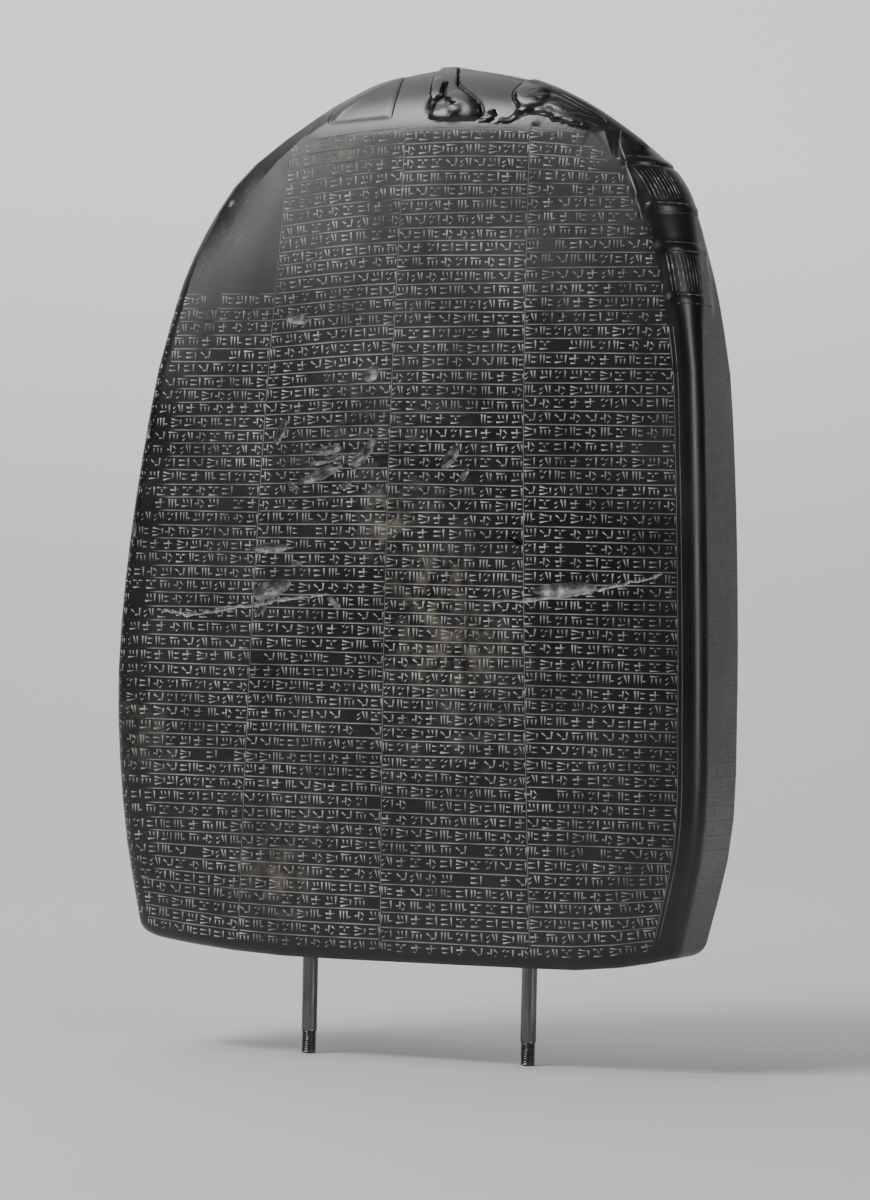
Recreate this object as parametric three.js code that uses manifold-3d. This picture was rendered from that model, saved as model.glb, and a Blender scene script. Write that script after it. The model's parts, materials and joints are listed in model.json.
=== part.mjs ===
// A carved stone stele, held up by two threaded steel studs set in its underside.
// Millimetres, +Z up. The inscribed face looks towards -Y and the narrow right side towards +X.
// The origin is at the flat middle of the underside, halfway between the studs.

import * as THREE from 'three';
import { mergeVertices } from 'three/addons/utils/BufferGeometryUtils.js';
import Module from 'manifold-3d';

// The stone's overall size
const stoneHeight = 455;
const stoneHalfWidth = 160;
const frontDepth = 40;
const backDepth = 38;
const frontBulge = 5;
const fullBulgeDepth = 30;
const fullBulgeWidth = 125;

// The outline as shares of the height and of the half width, from the foot up to the crest
const outlineHeights = [0.02, 0.15, 0.29, 0.42, 0.55, 0.67, 0.78, 0.87, 0.937, 0.98];
const leftWidths = [0.92, 0.975, 1, 0.98, 0.935, 0.88, 0.811, 0.674, 0.43, 0.2];
const rightWidths = [0.925, 0.993, 0.998, 0.99, 0.975, 0.953, 0.908, 0.824, 0.602, 0.36];
const crestOffset = 12;

// The carving is drawn in millimetres for a stone of this size, and follows the stone's own
const drawnHeight = 455;
const drawnHalfWidth = 160;

// Where the stone is thickest, and how much thinner it is at the top and at the foot
const thickestHeight = 200;
const upperThinning = 0.43;
const lowerThinning = 0.15;

// Rounded edges
const edgeRadius = 10;
const shoulderRadius = 30;
const shoulderDrop = 155;
const shoulderLength = 110;
const topRounding = 38;
const footRounding = 10;
const footInset = 0.75;

// The underside is flat in the middle and rises towards its ends
const flatLengths = [45, 80];
const endRises = [7.5, 7.5];
const endMargin = 20;
const endRiseFade = 60;
const footCut = 0.5;

// The inscription: four columns of ruled rows on the front, one on each narrow side
const rowPitch = 7.2;
const topMargin = 33;
const footMargin = 9;
const firstColumnDrop = 110;
const sideColumnDrop = 127;
const dividerTopShares = [-0.44, -0.04, 0.375];
const dividerFootShares = [-0.545, -0.05, 0.45];
const borderInset = 9;
const borderTopInset = 15;
const droopCentre = 20;
const leftDroop = 8;
const leftDroopReach = 92;
const leftDroopDrop = 265;
const rightDroop = 5;
const rightDroopReach = 76;
const rightDroopDrop = 75;
const ruleWidth = 0.9;
const ruleDepth = 0.35;
const dividerWidth = 1.1;
const dividerDepth = 0.4;
const sideBias = 0.8;

// Relief figures over the top
const figureHeight = 2.2;
const edgeWidth = 1.8;
const altarHeight = 1;
const mouldingHeight = 1.6;
const creaseWidth = 2;
const creaseDepth = 0.9;
const cleftWidth = 3.4;
const cleftDepth = 1.9;
const crackWidth = 1.6;
const crackDepth = 1.2;

// Striped altars on the right shoulder
const altarWidth = 28;
const altarTalls = [19, 22];
const altarInsets = [3, 3];
const altarFootDrops = [72, 118];
const altarStripes = 5;
const stripeWidth = 1.4;
const mouldingWidth = 2.4;
const mouldingStep = 4;
const mouldingReach = 1.5;

// The studs, with the thread on their lower ends
const studSpacing = 120;
const studRadius = 4;
const studInset = 60;
const studProjection = 51;
const studChamfer = 0.6;
const studSides = 10;
const threadLength = 12;
const threadPitch = 1.25;
const threadDepth = 0.65;
const studClearance = 0.3;

// How finely the block is divided
const backSteps = 4;
const cornerSteps = 3;
const footSteps = 3;
const bodySteps = 12;
const topSteps = 7;
const topFrontSteps = 14;
const topBackSteps = 6;
const figureSteps = 22;
const creaseSteps = 5;

const stoneColour = 0x1d1e1f;
const steelColour = 0x9a9895;

const wasm = await Module();
wasm.setup();

const clamp = THREE.MathUtils.clamp;
const lerp = THREE.MathUtils.lerp;

const topRowHeight = stoneHeight - topMargin;
const firstColumnTop = stoneHeight - firstColumnDrop;
const sideColumnTop = stoneHeight - sideColumnDrop;
const shoulderStart = stoneHeight - shoulderDrop;

function outlineCurve(widths, side) {
  const points = outlineHeights.map((share, i) => {
    return new THREE.Vector2(side * widths[i] * stoneHalfWidth, share * stoneHeight);
  });
  points.push(new THREE.Vector2(crestOffset, stoneHeight));
  return new THREE.SplineCurve(points).getPoints(400);
}

const leftOutline = outlineCurve(leftWidths, -1);
const rightOutline = outlineCurve(rightWidths, 1);

// The outline's place across at a height
function acrossAt(outline, height) {
  const next = outline.findIndex((point) => point.y >= height);
  if (next === 0) return outline[0].x;
  if (next < 0) return outline[outline.length - 1].x;
  const low = outline[next - 1];
  const high = outline[next];
  return lerp(low.x, high.x, (height - low.y) / (high.y - low.y));
}

// The share of the full thickness that is left at a height
function thicknessShare(height) {
  const upward = (height - thickestHeight) / (stoneHeight - thickestHeight);
  const downward = (thickestHeight - height) / thickestHeight;
  const lean = upward > 0 ? 1 - upperThinning * upward ** 2 : 1 - lowerThinning * downward ** 2;
  const turn = clamp((height - stoneHeight + topRounding) / topRounding, 0, 1);
  return lean * Math.sqrt(1 - turn ** 2);
}

function cornerRadiusAt(height, thickness, width) {
  const growth = clamp((height - shoulderStart) / shoulderLength, 0, 1);
  return Math.min(lerp(edgeRadius, shoulderRadius, growth), 0.48 * thickness, 0.48 * width);
}

// The level section of the block at a height
function sectionAt(height) {
  const left = acrossAt(leftOutline, height);
  const right = acrossAt(rightOutline, height);
  const turn = clamp(1 - height / footRounding, 0, 1);
  const inset = footRounding * (1 - Math.sqrt(1 - turn ** 2)) * footInset;
  const middle = (left + right) / 2;
  const half = (right - left) / 2 - inset;
  const front = frontDepth * thicknessShare(height) - inset;
  const back = backDepth * thicknessShare(height) - inset;
  const bulge = frontBulge * Math.min(1, front / fullBulgeDepth, half / fullBulgeWidth);
  const radius = cornerRadiusAt(height, front + back - 2 * bulge, 2 * half);
  return { middle, half, front, back, bulge, radius };
}

// The point of a section at a distance across, on the front (side -1) or on the back (side 1)
function sectionPoint(section, across, side) {
  const { middle, half, bulge, radius } = section;
  const depth = side < 0 ? section.front : section.back;
  const flat = half - radius;
  const away = Math.min(Math.abs(across - middle), half);
  const past = Math.max(0, away - flat);
  const share = Math.min(away, flat) / flat;
  return depth - bulge * share ** 2 - radius + Math.sqrt(Math.max(0, radius ** 2 - past ** 2));
}

// A point on the stone's surface
function surfacePoint(across, height, side) {
  const depth = sectionPoint(sectionAt(height), across, side);
  const end = across < 0 ? 0 : 1;
  const reach = stoneHalfWidth - endMargin - flatLengths[end];
  const past = clamp((Math.abs(across) - flatLengths[end]) / reach, 0, 1);
  const lift = (endRises[end] * past ** 2 - footCut) * clamp(1 - height / endRiseFade, 0, 1);
  return new THREE.Vector3(across, side * depth, height + lift);
}

// The surface's own directions at a point of the front
function surfaceFrame(across, height) {
  const point = surfacePoint(across, height, -1);
  const step = 0.5;
  const eastward = surfacePoint(across + step, height, -1).sub(surfacePoint(across - step, height, -1));
  const skyward = surfacePoint(across, height + step, -1).sub(surfacePoint(across, height - step, -1));
  const outward = eastward.cross(skyward).normalize();
  const along = new THREE.Vector3(0, 0, 1).cross(outward).normalize().negate();
  along.multiplyScalar(Math.sign(along.x) || 1);
  const upward = outward.clone().cross(along).normalize();
  return { point, along, upward, outward };
}

// The heights of the stops up the body: closer together up the shoulders and where the foot is rounded
function bodyHeights() {
  const heights = [];
  for (let i = 0; i < footSteps; i++) {
    heights.push(footRounding * (1 - Math.cos((i / footSteps) * Math.PI / 2)));
  }
  for (let i = 0; i <= bodySteps; i++) {
    const share = i / bodySteps;
    const eased = (share + Math.sin((share * Math.PI) / 2)) / 2;
    heights.push(lerp(footRounding, topRowHeight, eased));
  }
  return heights;
}

const heights = bodyHeights();

function dividerAcross(index, height) {
  return stoneHalfWidth * lerp(dividerFootShares[index], dividerTopShares[index], height / topRowHeight);
}

function borderAcross(height) {
  const share = clamp((height - shoulderStart) / shoulderLength, 0, 1);
  return acrossAt(rightOutline, height) - lerp(borderInset, borderTopInset, share);
}

// How far a ruled line hangs below its height in the middle of the face
function droopAt(across, height) {
  const isLeft = across < droopCentre;
  const held = Math.max(across, dividerAcross(0, topRowHeight));
  const reach = (held - droopCentre) / (isLeft ? leftDroopReach : rightDroopReach);
  const end = stoneHeight - (isLeft ? leftDroopDrop : rightDroopDrop);
  const rowShare = clamp((height - end) / (topRowHeight - end), 0, 1);
  const crestShare = clamp((stoneHeight - height) / (stoneHeight - topRowHeight), 0, 1);
  return (isLeft ? leftDroop : rightDroop) * reach ** 2 * rowShare * crestShare;
}

// The upright lines that the block is built on, counterclockwise from the front's left end.
// Each line has its side, its place across at a height, the top of its ruled rows and its groove's depth.
function uprightLines() {
  const lines = [];
  const corner = (side, end, j, top, isSagging) => {
    const angle = (j / cornerSteps) * Math.PI / 2;
    lines.push({ side, top, depth: 0, isSagging, across: (height) => {
      const section = sectionAt(height);
      const edge = section.middle + end * section.half;
      const inner = end < 0 ? dividerAcross(0, height) : borderAcross(height);
      const gap = side < 0 ? Math.abs(inner - edge) : section.half;
      const inset = Math.min(section.radius * (1 - Math.cos(angle)), (gap * j) / (cornerSteps + 1));
      return edge - end * inset;
    } });
  };
  for (let j = 0; j <= cornerSteps; j++) corner(-1, -1, j, firstColumnTop, true);
  for (let index = 0; index < dividerTopShares.length; index++) {
    for (const shift of [-1, 0, 1]) {
      const across = (height) => dividerAcross(index, height) + (shift * dividerWidth) / 2;
      const depth = shift === 0 ? dividerDepth : 0;
      lines.push({ side: -1, top: topRowHeight, depth, isSagging: true, across });
    }
  }
  lines.push({ side: -1, top: topRowHeight, depth: 0, isSagging: true, across: borderAcross });
  for (let j = cornerSteps; j > 0; j--) corner(-1, 1, j, 0, true);
  corner(-1, 1, 0, sideColumnTop, false);
  corner(1, 1, 0, sideColumnTop, false);
  for (let j = 1; j <= cornerSteps; j++) corner(1, 1, j, 0, false);
  for (let i = 1; i < backSteps; i++) {
    const share = 1 - (2 * i) / backSteps;
    lines.push({ side: 1, top: 0, depth: 0, isSagging: false, across: (height) => {
      const section = sectionAt(height);
      return section.middle + share * (section.half - section.radius);
    } });
  }
  for (let j = cornerSteps; j >= 0; j--) corner(1, -1, j, 0, false);
  return lines;
}

// The stops of one upright line up to the highest row; ruled lines dip at every row
function lineStops(line, isRuled) {
  const stops = [];
  const top = isRuled ? line.top : 0;
  for (const height of heights) {
    const isBesideRows = height > footMargin - rowPitch / 2 && height < top + rowPitch / 2;
    if (!isBesideRows) stops.push({ height, dip: 0 });
  }
  for (let height = topRowHeight; height > footMargin; height -= rowPitch) {
    if (height > top) continue;
    stops.push({ height: height + ruleWidth / 2, dip: 0 });
    stops.push({ height, dip: ruleDepth });
    stops.push({ height: height - ruleWidth / 2, dip: 0 });
  }
  return stops.sort((a, b) => a.height - b.height);
}

function stopPoint(line, stop, isRuled) {
  const isWritten = stop.height < line.top && stop.height > footMargin - rowPitch;
  const depth = isRuled ? Math.max(stop.dip, isWritten ? line.depth : 0) : 0;
  const sag = line.side < 0 && line.isSagging ? droopAt(line.across(stop.height), stop.height) : 0;
  const height = stop.height - sag;
  const across = line.across(height);
  const point = surfacePoint(across, height, line.side);
  if (depth === 0) return point;
  const middle = sectionAt(height).middle;
  const inward = new THREE.Vector3(middle + (across - middle) * sideBias, 0, point.z).sub(point);
  return point.addScaledVector(inward.normalize(), depth);
}

// The rings over the highest row, each point with its way round as a key from 0 to 2
function topRings() {
  const rings = [];
  for (let level = 1; level < topSteps; level++) {
    const turn = (level / topSteps) * Math.PI / 2;
    const height = topRowHeight + (stoneHeight - topRowHeight) * Math.sin(turn);
    const ring = [];
    const addPoint = (side, angle) => {
      const { middle, half } = sectionAt(height);
      const across = middle - half * Math.cos(angle);
      const sag = side < 0 ? droopAt(across, height) * Math.sin(angle) : 0;
      const lowered = sectionAt(height - sag);
      const moved = lowered.middle - lowered.half * Math.cos(angle);
      ring.push({ key: ringKey(side, Math.cos(angle)), point: surfacePoint(moved, height - sag, side) });
    };
    for (let i = 0; i <= topFrontSteps; i++) addPoint(-1, (i / topFrontSteps) * Math.PI);
    for (let i = topBackSteps; i >= 0; i--) addPoint(1, (i / topBackSteps) * Math.PI);
    rings.push(ring);
  }
  return rings;
}

// The way round the block: 0 to 1 along the front from left to right, then 1 to 2 back along the back
function ringKey(side, leftness) {
  return side < 0 ? (1 - leftness) / 2 : 1.001 + (1 + leftness) / 2;
}

// Fills the gap between two rows of points with triangles, always stepping to the nearer next point.
// Each row holds point numbers and keys that rise; turned rows give faces that look the other way.
function fillBetween(faces, low, high, isTurned) {
  let here = 0;
  let there = 0;
  while (here < low.length - 1 || there < high.length - 1) {
    const hereKey = here < low.length - 1 ? low[here + 1].key : Infinity;
    const thereKey = there < high.length - 1 ? high[there + 1].key : Infinity;
    const face = [low[here].index, high[there].index];
    if (hereKey < thereKey) {
      here += 1;
      face.splice(1, 0, low[here].index);
    } else {
      there += 1;
      face.splice(1, 0, high[there].index);
    }
    faces.push(...(isTurned ? face.reverse() : face));
  }
}

// The block: bands between neighbouring upright lines, rings over them, and an underside
function blockGeometry(isRuled) {
  const points = [];
  const faces = [];
  const addPoint = (point) => points.push(point) - 1;
  const lines = uprightLines().map((line) => {
    const stops = lineStops(line, isRuled);
    return { ...line, row: stops.map((stop) => {
      return { key: stop.height, index: addPoint(stopPoint(line, stop, isRuled)) };
    }) };
  });
  lines.forEach((line, i) => fillBetween(faces, line.row, lines[(i + 1) % lines.length].row, true));

  const collar = lines.map((line) => {
    const index = line.row[line.row.length - 1].index;
    const { middle, half } = sectionAt(topRowHeight);
    return { key: ringKey(line.side, (middle - line.across(topRowHeight)) / half), index };
  });
  const rings = topRings().map((ring) => ring.map(({ key, point }) => ({ key, index: addPoint(point) })));
  const closed = (ring) => [...ring, { key: ring[0].key + 3, index: ring[0].index }];
  fillBetween(faces, closed(collar), closed(rings[0]), false);
  for (let i = 1; i < rings.length; i++) fillBetween(faces, closed(rings[i - 1]), closed(rings[i]), false);
  const crest = addPoint(new THREE.Vector3(crestOffset, 0, stoneHeight));
  const last = closed(rings[rings.length - 1]);
  for (let i = 0; i < last.length - 1; i++) faces.push(last[i].index, last[i + 1].index, crest);

  // The underside joins the front's lowest points to the back's, from left to right
  const edge = (side) => lines.filter((line) => line.side === side).map((line) => {
    const index = line.row[0].index;
    return { key: points[index].x, index };
  });
  fillBetween(faces, edge(-1), edge(1).reverse(), true);
  const geometry = new THREE.BufferGeometry().setFromPoints(points);
  geometry.setIndex(faces);
  return geometry;
}

// The same block with every point moved outwards
function grownGeometry(growth) {
  const geometry = blockGeometry(false);
  geometry.computeVertexNormals();
  const { position, normal } = geometry.attributes;
  const point = new THREE.Vector3();
  const outward = new THREE.Vector3();
  for (let i = 0; i < position.count; i++) {
    outward.fromBufferAttribute(normal, i);
    point.fromBufferAttribute(position, i).addScaledVector(outward, growth);
    position.setXYZ(i, point.x, point.y, point.z);
  }
  return geometry;
}

function solidFrom(geometry) {
  let shape = geometry.clone();
  for (const name of ['normal', 'uv']) shape.deleteAttribute(name);
  shape = mergeVertices(shape, 1e-4);
  const vertProperties = new Float32Array(shape.attributes.position.array);
  const triVerts = new Uint32Array(shape.index.array);
  return new wasm.Manifold(new wasm.Mesh({ numProp: 3, vertProperties, triVerts }));
}

function geometryFrom(solid) {
  const mesh = solid.getMesh();
  const geometry = new THREE.BufferGeometry();
  geometry.setAttribute('position', new THREE.Float32BufferAttribute(mesh.vertProperties, 3));
  geometry.setIndex(Array.from(mesh.triVerts));
  geometry.computeVertexNormals();
  return geometry;
}

// A V-shaped cutter that follows a path of points across and up the front, or up on a relief there
function grooveSolid(path, width, depth, relief) {
  const lift = 0.6;
  const points = [];
  const faces = [];
  const flare = (width / 2) * (1 + lift / depth);
  const places = path.map((spot) => surfacePoint(spot.x, spot.y, -1));
  path.forEach((spot, i) => {
    const { point, outward } = surfaceFrame(spot.x, spot.y);
    const before = places[Math.max(0, i - 1)];
    const after = places[Math.min(path.length - 1, i + 1)];
    const aside = outward.clone().cross(after.clone().sub(before)).normalize();
    point.addScaledVector(outward, relief);
    points.push(point.clone().addScaledVector(outward, lift).addScaledVector(aside, flare));
    points.push(point.clone().addScaledVector(outward, -depth));
    points.push(point.clone().addScaledVector(outward, lift).addScaledVector(aside, -flare));
  });
  for (let i = 0; i < path.length - 1; i++) {
    for (let edge = 0; edge < 3; edge++) {
      const near = 3 * i + edge;
      const nearNext = 3 * i + ((edge + 1) % 3);
      faces.push(near, near + 3, nearNext + 3, near, nearNext + 3, nearNext);
    }
  }
  const end = points.length - 3;
  faces.push(0, 1, 2, end, end + 2, end + 1);
  const geometry = new THREE.BufferGeometry().setFromPoints(points);
  geometry.setIndex(faces);
  return solidFrom(geometry);
}

// A relief figure: an outline in the face's plane, carried through the front half of the block
function figureSolid(points, closedSmooth) {
  const outline = closedSmooth ? new THREE.SplineCurve(points).getPoints(figureSteps) : points;
  const geometry = new THREE.ExtrudeGeometry(new THREE.Shape(outline), {
    depth: frontDepth + 10,
    bevelEnabled: false,
  });
  geometry.rotateX(Math.PI / 2);
  return solidFrom(geometry);
}

const at = (x, y) => new THREE.Vector2(x, y);
const drawn = (x, z) => at((x * stoneHalfWidth) / drawnHalfWidth, (z * stoneHeight) / drawnHeight);

// A plain shrine front, an animal's hindquarters and a crouching winged creature
const shrineOutline = [drawn(-51, 424), drawn(-16, 427.5), drawn(-15, 449), drawn(-46, 440)];
const haunchOutline = [
  drawn(2, 426), drawn(4, 437), drawn(0, 447), drawn(12, 458), drawn(26, 455), drawn(30, 442),
  drawn(36, 434), drawn(39, 428), drawn(35, 425), drawn(18, 424.5), drawn(2, 426),
];
const creatureOutline = [
  drawn(44, 424), drawn(52, 430), drawn(53, 434), drawn(47, 440), drawn(46, 446), drawn(54, 455),
  drawn(82, 449), drawn(104, 434), drawn(116, 415), drawn(112, 409), drawn(94, 418), drawn(74, 424),
  drawn(72, 429), drawn(62, 431), drawn(55, 428), drawn(48, 424), drawn(44, 424),
];
const fieldEdge = [drawn(103, 420), drawn(109, 404), drawn(115, 388), drawn(120, 373)];
const tailPlaces = [drawn(38, 428), drawn(42, 431), drawn(45, 429), drawn(43, 425.5), drawn(38, 425)];
const haunchCrease = [drawn(4, 426), drawn(9, 432), drawn(14, 438), drawn(16, 444)];
const kneeCrease = [drawn(14, 438), drawn(21, 433)];
const wingCreases = [
  [drawn(64, 432), drawn(84, 426.5), drawn(102, 415)],
  [drawn(64, 437), drawn(84, 431), drawn(104, 419)],
];

function creaseLine(points) {
  return new THREE.SplineCurve(points).getPoints(creaseSteps);
}

// The raised edge that parts the shoulder's altars from the inscription
function fieldEdgeSolid() {
  const outer = fieldEdge.map((point) => at(point.x + edgeWidth, point.y));
  return figureSolid([...fieldEdge, ...outer.reverse()], false);
}

function tailSolid() {
  const curve = new THREE.SplineCurve(tailPlaces).getPoints(8);
  const width = 2;
  const outer = curve.map((point, i) => {
    const before = curve[Math.max(0, i - 1)];
    const after = curve[Math.min(curve.length - 1, i + 1)];
    const aside = after.clone().sub(before).normalize();
    return at(point.x - aside.y * width / 2, point.y + aside.x * width / 2);
  });
  const inner = curve.map((point, i) => at(2 * point.x - outer[i].x, 2 * point.y - outer[i].y));
  return figureSolid([...outer, ...inner.reverse()], false);
}

// A box standing out of the block, with its face square to the surface at its middle
function plateSolid(frame, aside, rise, width, tall) {
  const { point, along, upward, outward } = frame;
  const geometry = new THREE.BoxGeometry(width, tall, 2 * shoulderRadius);
  const middle = point.clone().addScaledVector(along, aside).addScaledVector(upward, rise);
  geometry.applyMatrix4(new THREE.Matrix4().makeBasis(along, upward, outward).setPosition(middle));
  return solidFrom(geometry);
}

function altarParts() {
  const plates = [];
  const bars = [];
  const stripes = [];
  altarTalls.forEach((tall, index) => {
    const middle = stoneHeight - altarFootDrops[index] + tall / 2;
    const frame = surfaceFrame(acrossAt(rightOutline, middle) - altarInsets[index], middle);
    plates.push(plateSolid(frame, 0, 0, altarWidth, tall));
    for (const side of [-1, 1]) {
      const rise = side * (tall + mouldingStep) / 2;
      bars.push(plateSolid(frame, 0, rise, altarWidth + 2 * mouldingReach, mouldingWidth));
    }
    for (let i = 0; i < altarStripes; i++) {
      const aside = altarWidth * ((i + 0.5) / altarStripes - 0.5);
      stripes.push(plateSolid(frame, aside, 0, stripeWidth, tall - mouldingStep));
    }
  });
  return { plates, bars, stripes };
}

// Chips and hollows on the front: across, height, length, width, depth and turn in degrees
const gouges = [
  [-61, 325, 15, 6, 2.2, -8],
  [-18, 297, 9, 8, 2.2, 50],
  [-67, 267, 15, 5, 2, 70],
  [-41, 258, 17, 5, 2, 12],
  [-42, 253, 19, 4, 1.6, 10],
  [-44, 246, 26, 6, 2.6, 22],
  [-21, 256, 22, 6, 3, 52],
  [12.5, 265, 8, 2, 1.2, -68],
  [26, 255, 15, 6, 2.6, 58],
  [-71, 208, 21, 5, 2, 3],
  [-70, 187, 22, 9, 3, 20],
  [-35, 181, 10, 4, 1.4, -35],
  [88, 190, 34, 7, 2.4, 4],
];

const cracks = [
  [drawn(-132, 175), drawn(-112, 174), drawn(-86, 178), drawn(-62, 182), drawn(-38, 185)],
  [drawn(56, 184), drawn(84, 186), drawn(106, 190), drawn(136, 198)],
];

function gougeSolid([x, z, length, width, depth, turnDegrees]) {
  const middle = drawn(x, z);
  const { point, along, upward, outward } = surfaceFrame(middle.x, middle.y);
  const geometry = new THREE.SphereGeometry(1, 6, 4);
  geometry.rotateZ(Math.PI / 2);
  geometry.scale(length / 2, width / 2, depth);
  geometry.rotateZ(THREE.MathUtils.degToRad(turnDegrees));
  geometry.applyMatrix4(new THREE.Matrix4().makeBasis(along, upward, outward).setPosition(point));
  return solidFrom(geometry);
}

function stoneMesh() {
  const block = solidFrom(blockGeometry(true)).subtract(footBox());
  let stone = block;
  const raised = solidFrom(grownGeometry(figureHeight));
  const plated = solidFrom(grownGeometry(altarHeight));
  const moulded = solidFrom(grownGeometry(mouldingHeight));
  const altars = altarParts();
  const figures = [
    figureSolid(shrineOutline, false),
    figureSolid(haunchOutline, true),
    figureSolid(creatureOutline, true),
    tailSolid(),
  ];
  for (const figure of figures) stone = stone.add(figure.intersect(raised));
  for (const plate of [...altars.plates, fieldEdgeSolid()]) stone = stone.add(plate.intersect(plated));
  for (const bar of altars.bars) stone = stone.add(bar.intersect(moulded));
  for (const stripe of altars.stripes) stone = stone.subtract(stripe.subtract(block));
  for (const crease of [haunchCrease, kneeCrease]) {
    stone = stone.subtract(grooveSolid(creaseLine(crease), cleftWidth, cleftDepth, figureHeight));
  }
  for (const crease of wingCreases) {
    stone = stone.subtract(grooveSolid(creaseLine(crease), creaseWidth, creaseDepth, figureHeight));
  }
  for (const gouge of gouges) stone = stone.subtract(gougeSolid(gouge));
  for (const crack of cracks) stone = stone.subtract(grooveSolid(crack, crackWidth, crackDepth, 0));
  for (const side of [-1, 1]) stone = stone.subtract(studHole(side));
  const material = new THREE.MeshStandardMaterial({
    color: stoneColour,
    roughness: 0.35,
    metalness: 0,
  });
  const mesh = new THREE.Mesh(geometryFrom(stone), material);
  mesh.name = 'stone_stele';
  return mesh;
}

// What is cut away to leave the underside flat
function footBox() {
  const geometry = new THREE.BoxGeometry(3 * stoneHalfWidth, 4 * frontDepth, 2 * footRounding);
  geometry.translate(0, 0, -footRounding);
  return solidFrom(geometry);
}

function studHole(side) {
  const radius = studRadius + studClearance;
  const below = footRounding;
  const length = studInset + studClearance + below;
  const geometry = new THREE.CylinderGeometry(radius, radius, length, studSides);
  geometry.rotateX(Math.PI / 2);
  geometry.translate(side * studSpacing / 2, 0, length / 2 - below);
  return solidFrom(geometry);
}

// A round stud with a chamfered end, turned about its own axis, with the thread as turned ridges
function studGeometry() {
  const profile = [at(0, -studProjection), at(studRadius - threadDepth - studChamfer, -studProjection)];
  const turns = Math.floor(threadLength / threadPitch);
  for (let i = 0; i < turns; i++) {
    const foot = -studProjection + studChamfer + i * threadPitch;
    profile.push(at(studRadius - threadDepth, foot));
    profile.push(at(studRadius, foot + threadPitch / 2));
  }
  const shankFoot = -studProjection + studChamfer + turns * threadPitch;
  profile.push(at(studRadius - threadDepth, shankFoot));
  profile.push(at(studRadius, shankFoot + threadDepth));
  profile.push(at(studRadius, studInset - studChamfer));
  profile.push(at(studRadius - studChamfer, studInset));
  profile.push(at(0, studInset));
  const geometry = new THREE.LatheGeometry(profile, studSides);
  geometry.rotateX(Math.PI / 2);
  return geometry;
}

function studMesh(name, side) {
  const material = new THREE.MeshStandardMaterial({
    color: steelColour,
    roughness: 0.3,
    metalness: 1,
  });
  const mesh = new THREE.Mesh(studGeometry(), material);
  mesh.name = name;
  mesh.position.x = side * studSpacing / 2;
  return mesh;
}

const stele = new THREE.Group();
stele.add(stoneMesh());
stele.add(studMesh('left_mounting_stud', -1));
stele.add(studMesh('right_mounting_stud', 1));

export default stele;
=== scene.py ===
# %% [markdown]
# # A carved stone stele on two threaded studs
# This lesson dresses a plain CAD stele for a render. The real object is one block of black stone with
# a rounded top, polished all over. Four columns of ruled rows cover its front, low figures run over its
# top, and two striped altars stand on its right shoulder. Two steel studs in its underside hold it up.
# The CAD model already has the right size, so everything here is made inside its box.

# %% Load the frame and measure it
import json
import math
import bmesh
import bpy
import numpy as np
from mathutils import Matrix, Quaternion, Vector
from mathutils.bvhtree import BVHTree

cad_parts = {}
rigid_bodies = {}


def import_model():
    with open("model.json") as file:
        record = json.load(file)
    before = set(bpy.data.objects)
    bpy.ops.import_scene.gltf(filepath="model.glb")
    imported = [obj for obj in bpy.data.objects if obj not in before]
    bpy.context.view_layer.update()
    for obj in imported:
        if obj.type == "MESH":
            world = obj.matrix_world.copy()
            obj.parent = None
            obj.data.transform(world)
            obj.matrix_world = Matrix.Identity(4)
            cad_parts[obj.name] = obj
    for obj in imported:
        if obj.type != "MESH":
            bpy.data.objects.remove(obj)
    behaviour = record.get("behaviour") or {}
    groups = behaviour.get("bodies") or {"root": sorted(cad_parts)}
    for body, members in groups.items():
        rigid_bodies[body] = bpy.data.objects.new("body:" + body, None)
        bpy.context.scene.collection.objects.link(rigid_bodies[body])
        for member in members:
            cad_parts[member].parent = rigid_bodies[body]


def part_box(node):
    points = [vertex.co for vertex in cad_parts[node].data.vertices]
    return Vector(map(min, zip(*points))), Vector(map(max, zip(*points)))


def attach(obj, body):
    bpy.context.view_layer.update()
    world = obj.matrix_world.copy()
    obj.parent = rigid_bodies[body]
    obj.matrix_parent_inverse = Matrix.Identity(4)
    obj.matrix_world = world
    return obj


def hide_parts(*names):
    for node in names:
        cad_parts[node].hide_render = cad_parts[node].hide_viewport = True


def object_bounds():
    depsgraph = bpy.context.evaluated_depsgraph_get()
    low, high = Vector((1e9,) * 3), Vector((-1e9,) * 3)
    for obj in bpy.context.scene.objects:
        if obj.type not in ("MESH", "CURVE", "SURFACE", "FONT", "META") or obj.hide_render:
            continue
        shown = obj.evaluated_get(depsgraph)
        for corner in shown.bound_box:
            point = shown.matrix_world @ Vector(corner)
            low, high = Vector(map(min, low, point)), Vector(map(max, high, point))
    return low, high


for spare in list(bpy.data.objects):
    bpy.data.objects.remove(spare)
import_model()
cad_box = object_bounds()
stone_low, stone_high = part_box("stone_stele")
print("stone", [round(v, 4) for v in stone_low], [round(v, 4) for v in stone_high])

# %% [markdown]
# ## The form of the block
# The stone has no flat side to start a box from. Its outline leans, its thickness falls towards the top,
# its edges are rounded and its front swells a little. One way is to sculpt that by eye. A surer way is
# to write the form as a rule: at each height a level section, which is a rectangle with rounded corners
# and a slight swell. The sizes below are millimetres and are the ones the CAD model was made from.

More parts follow.
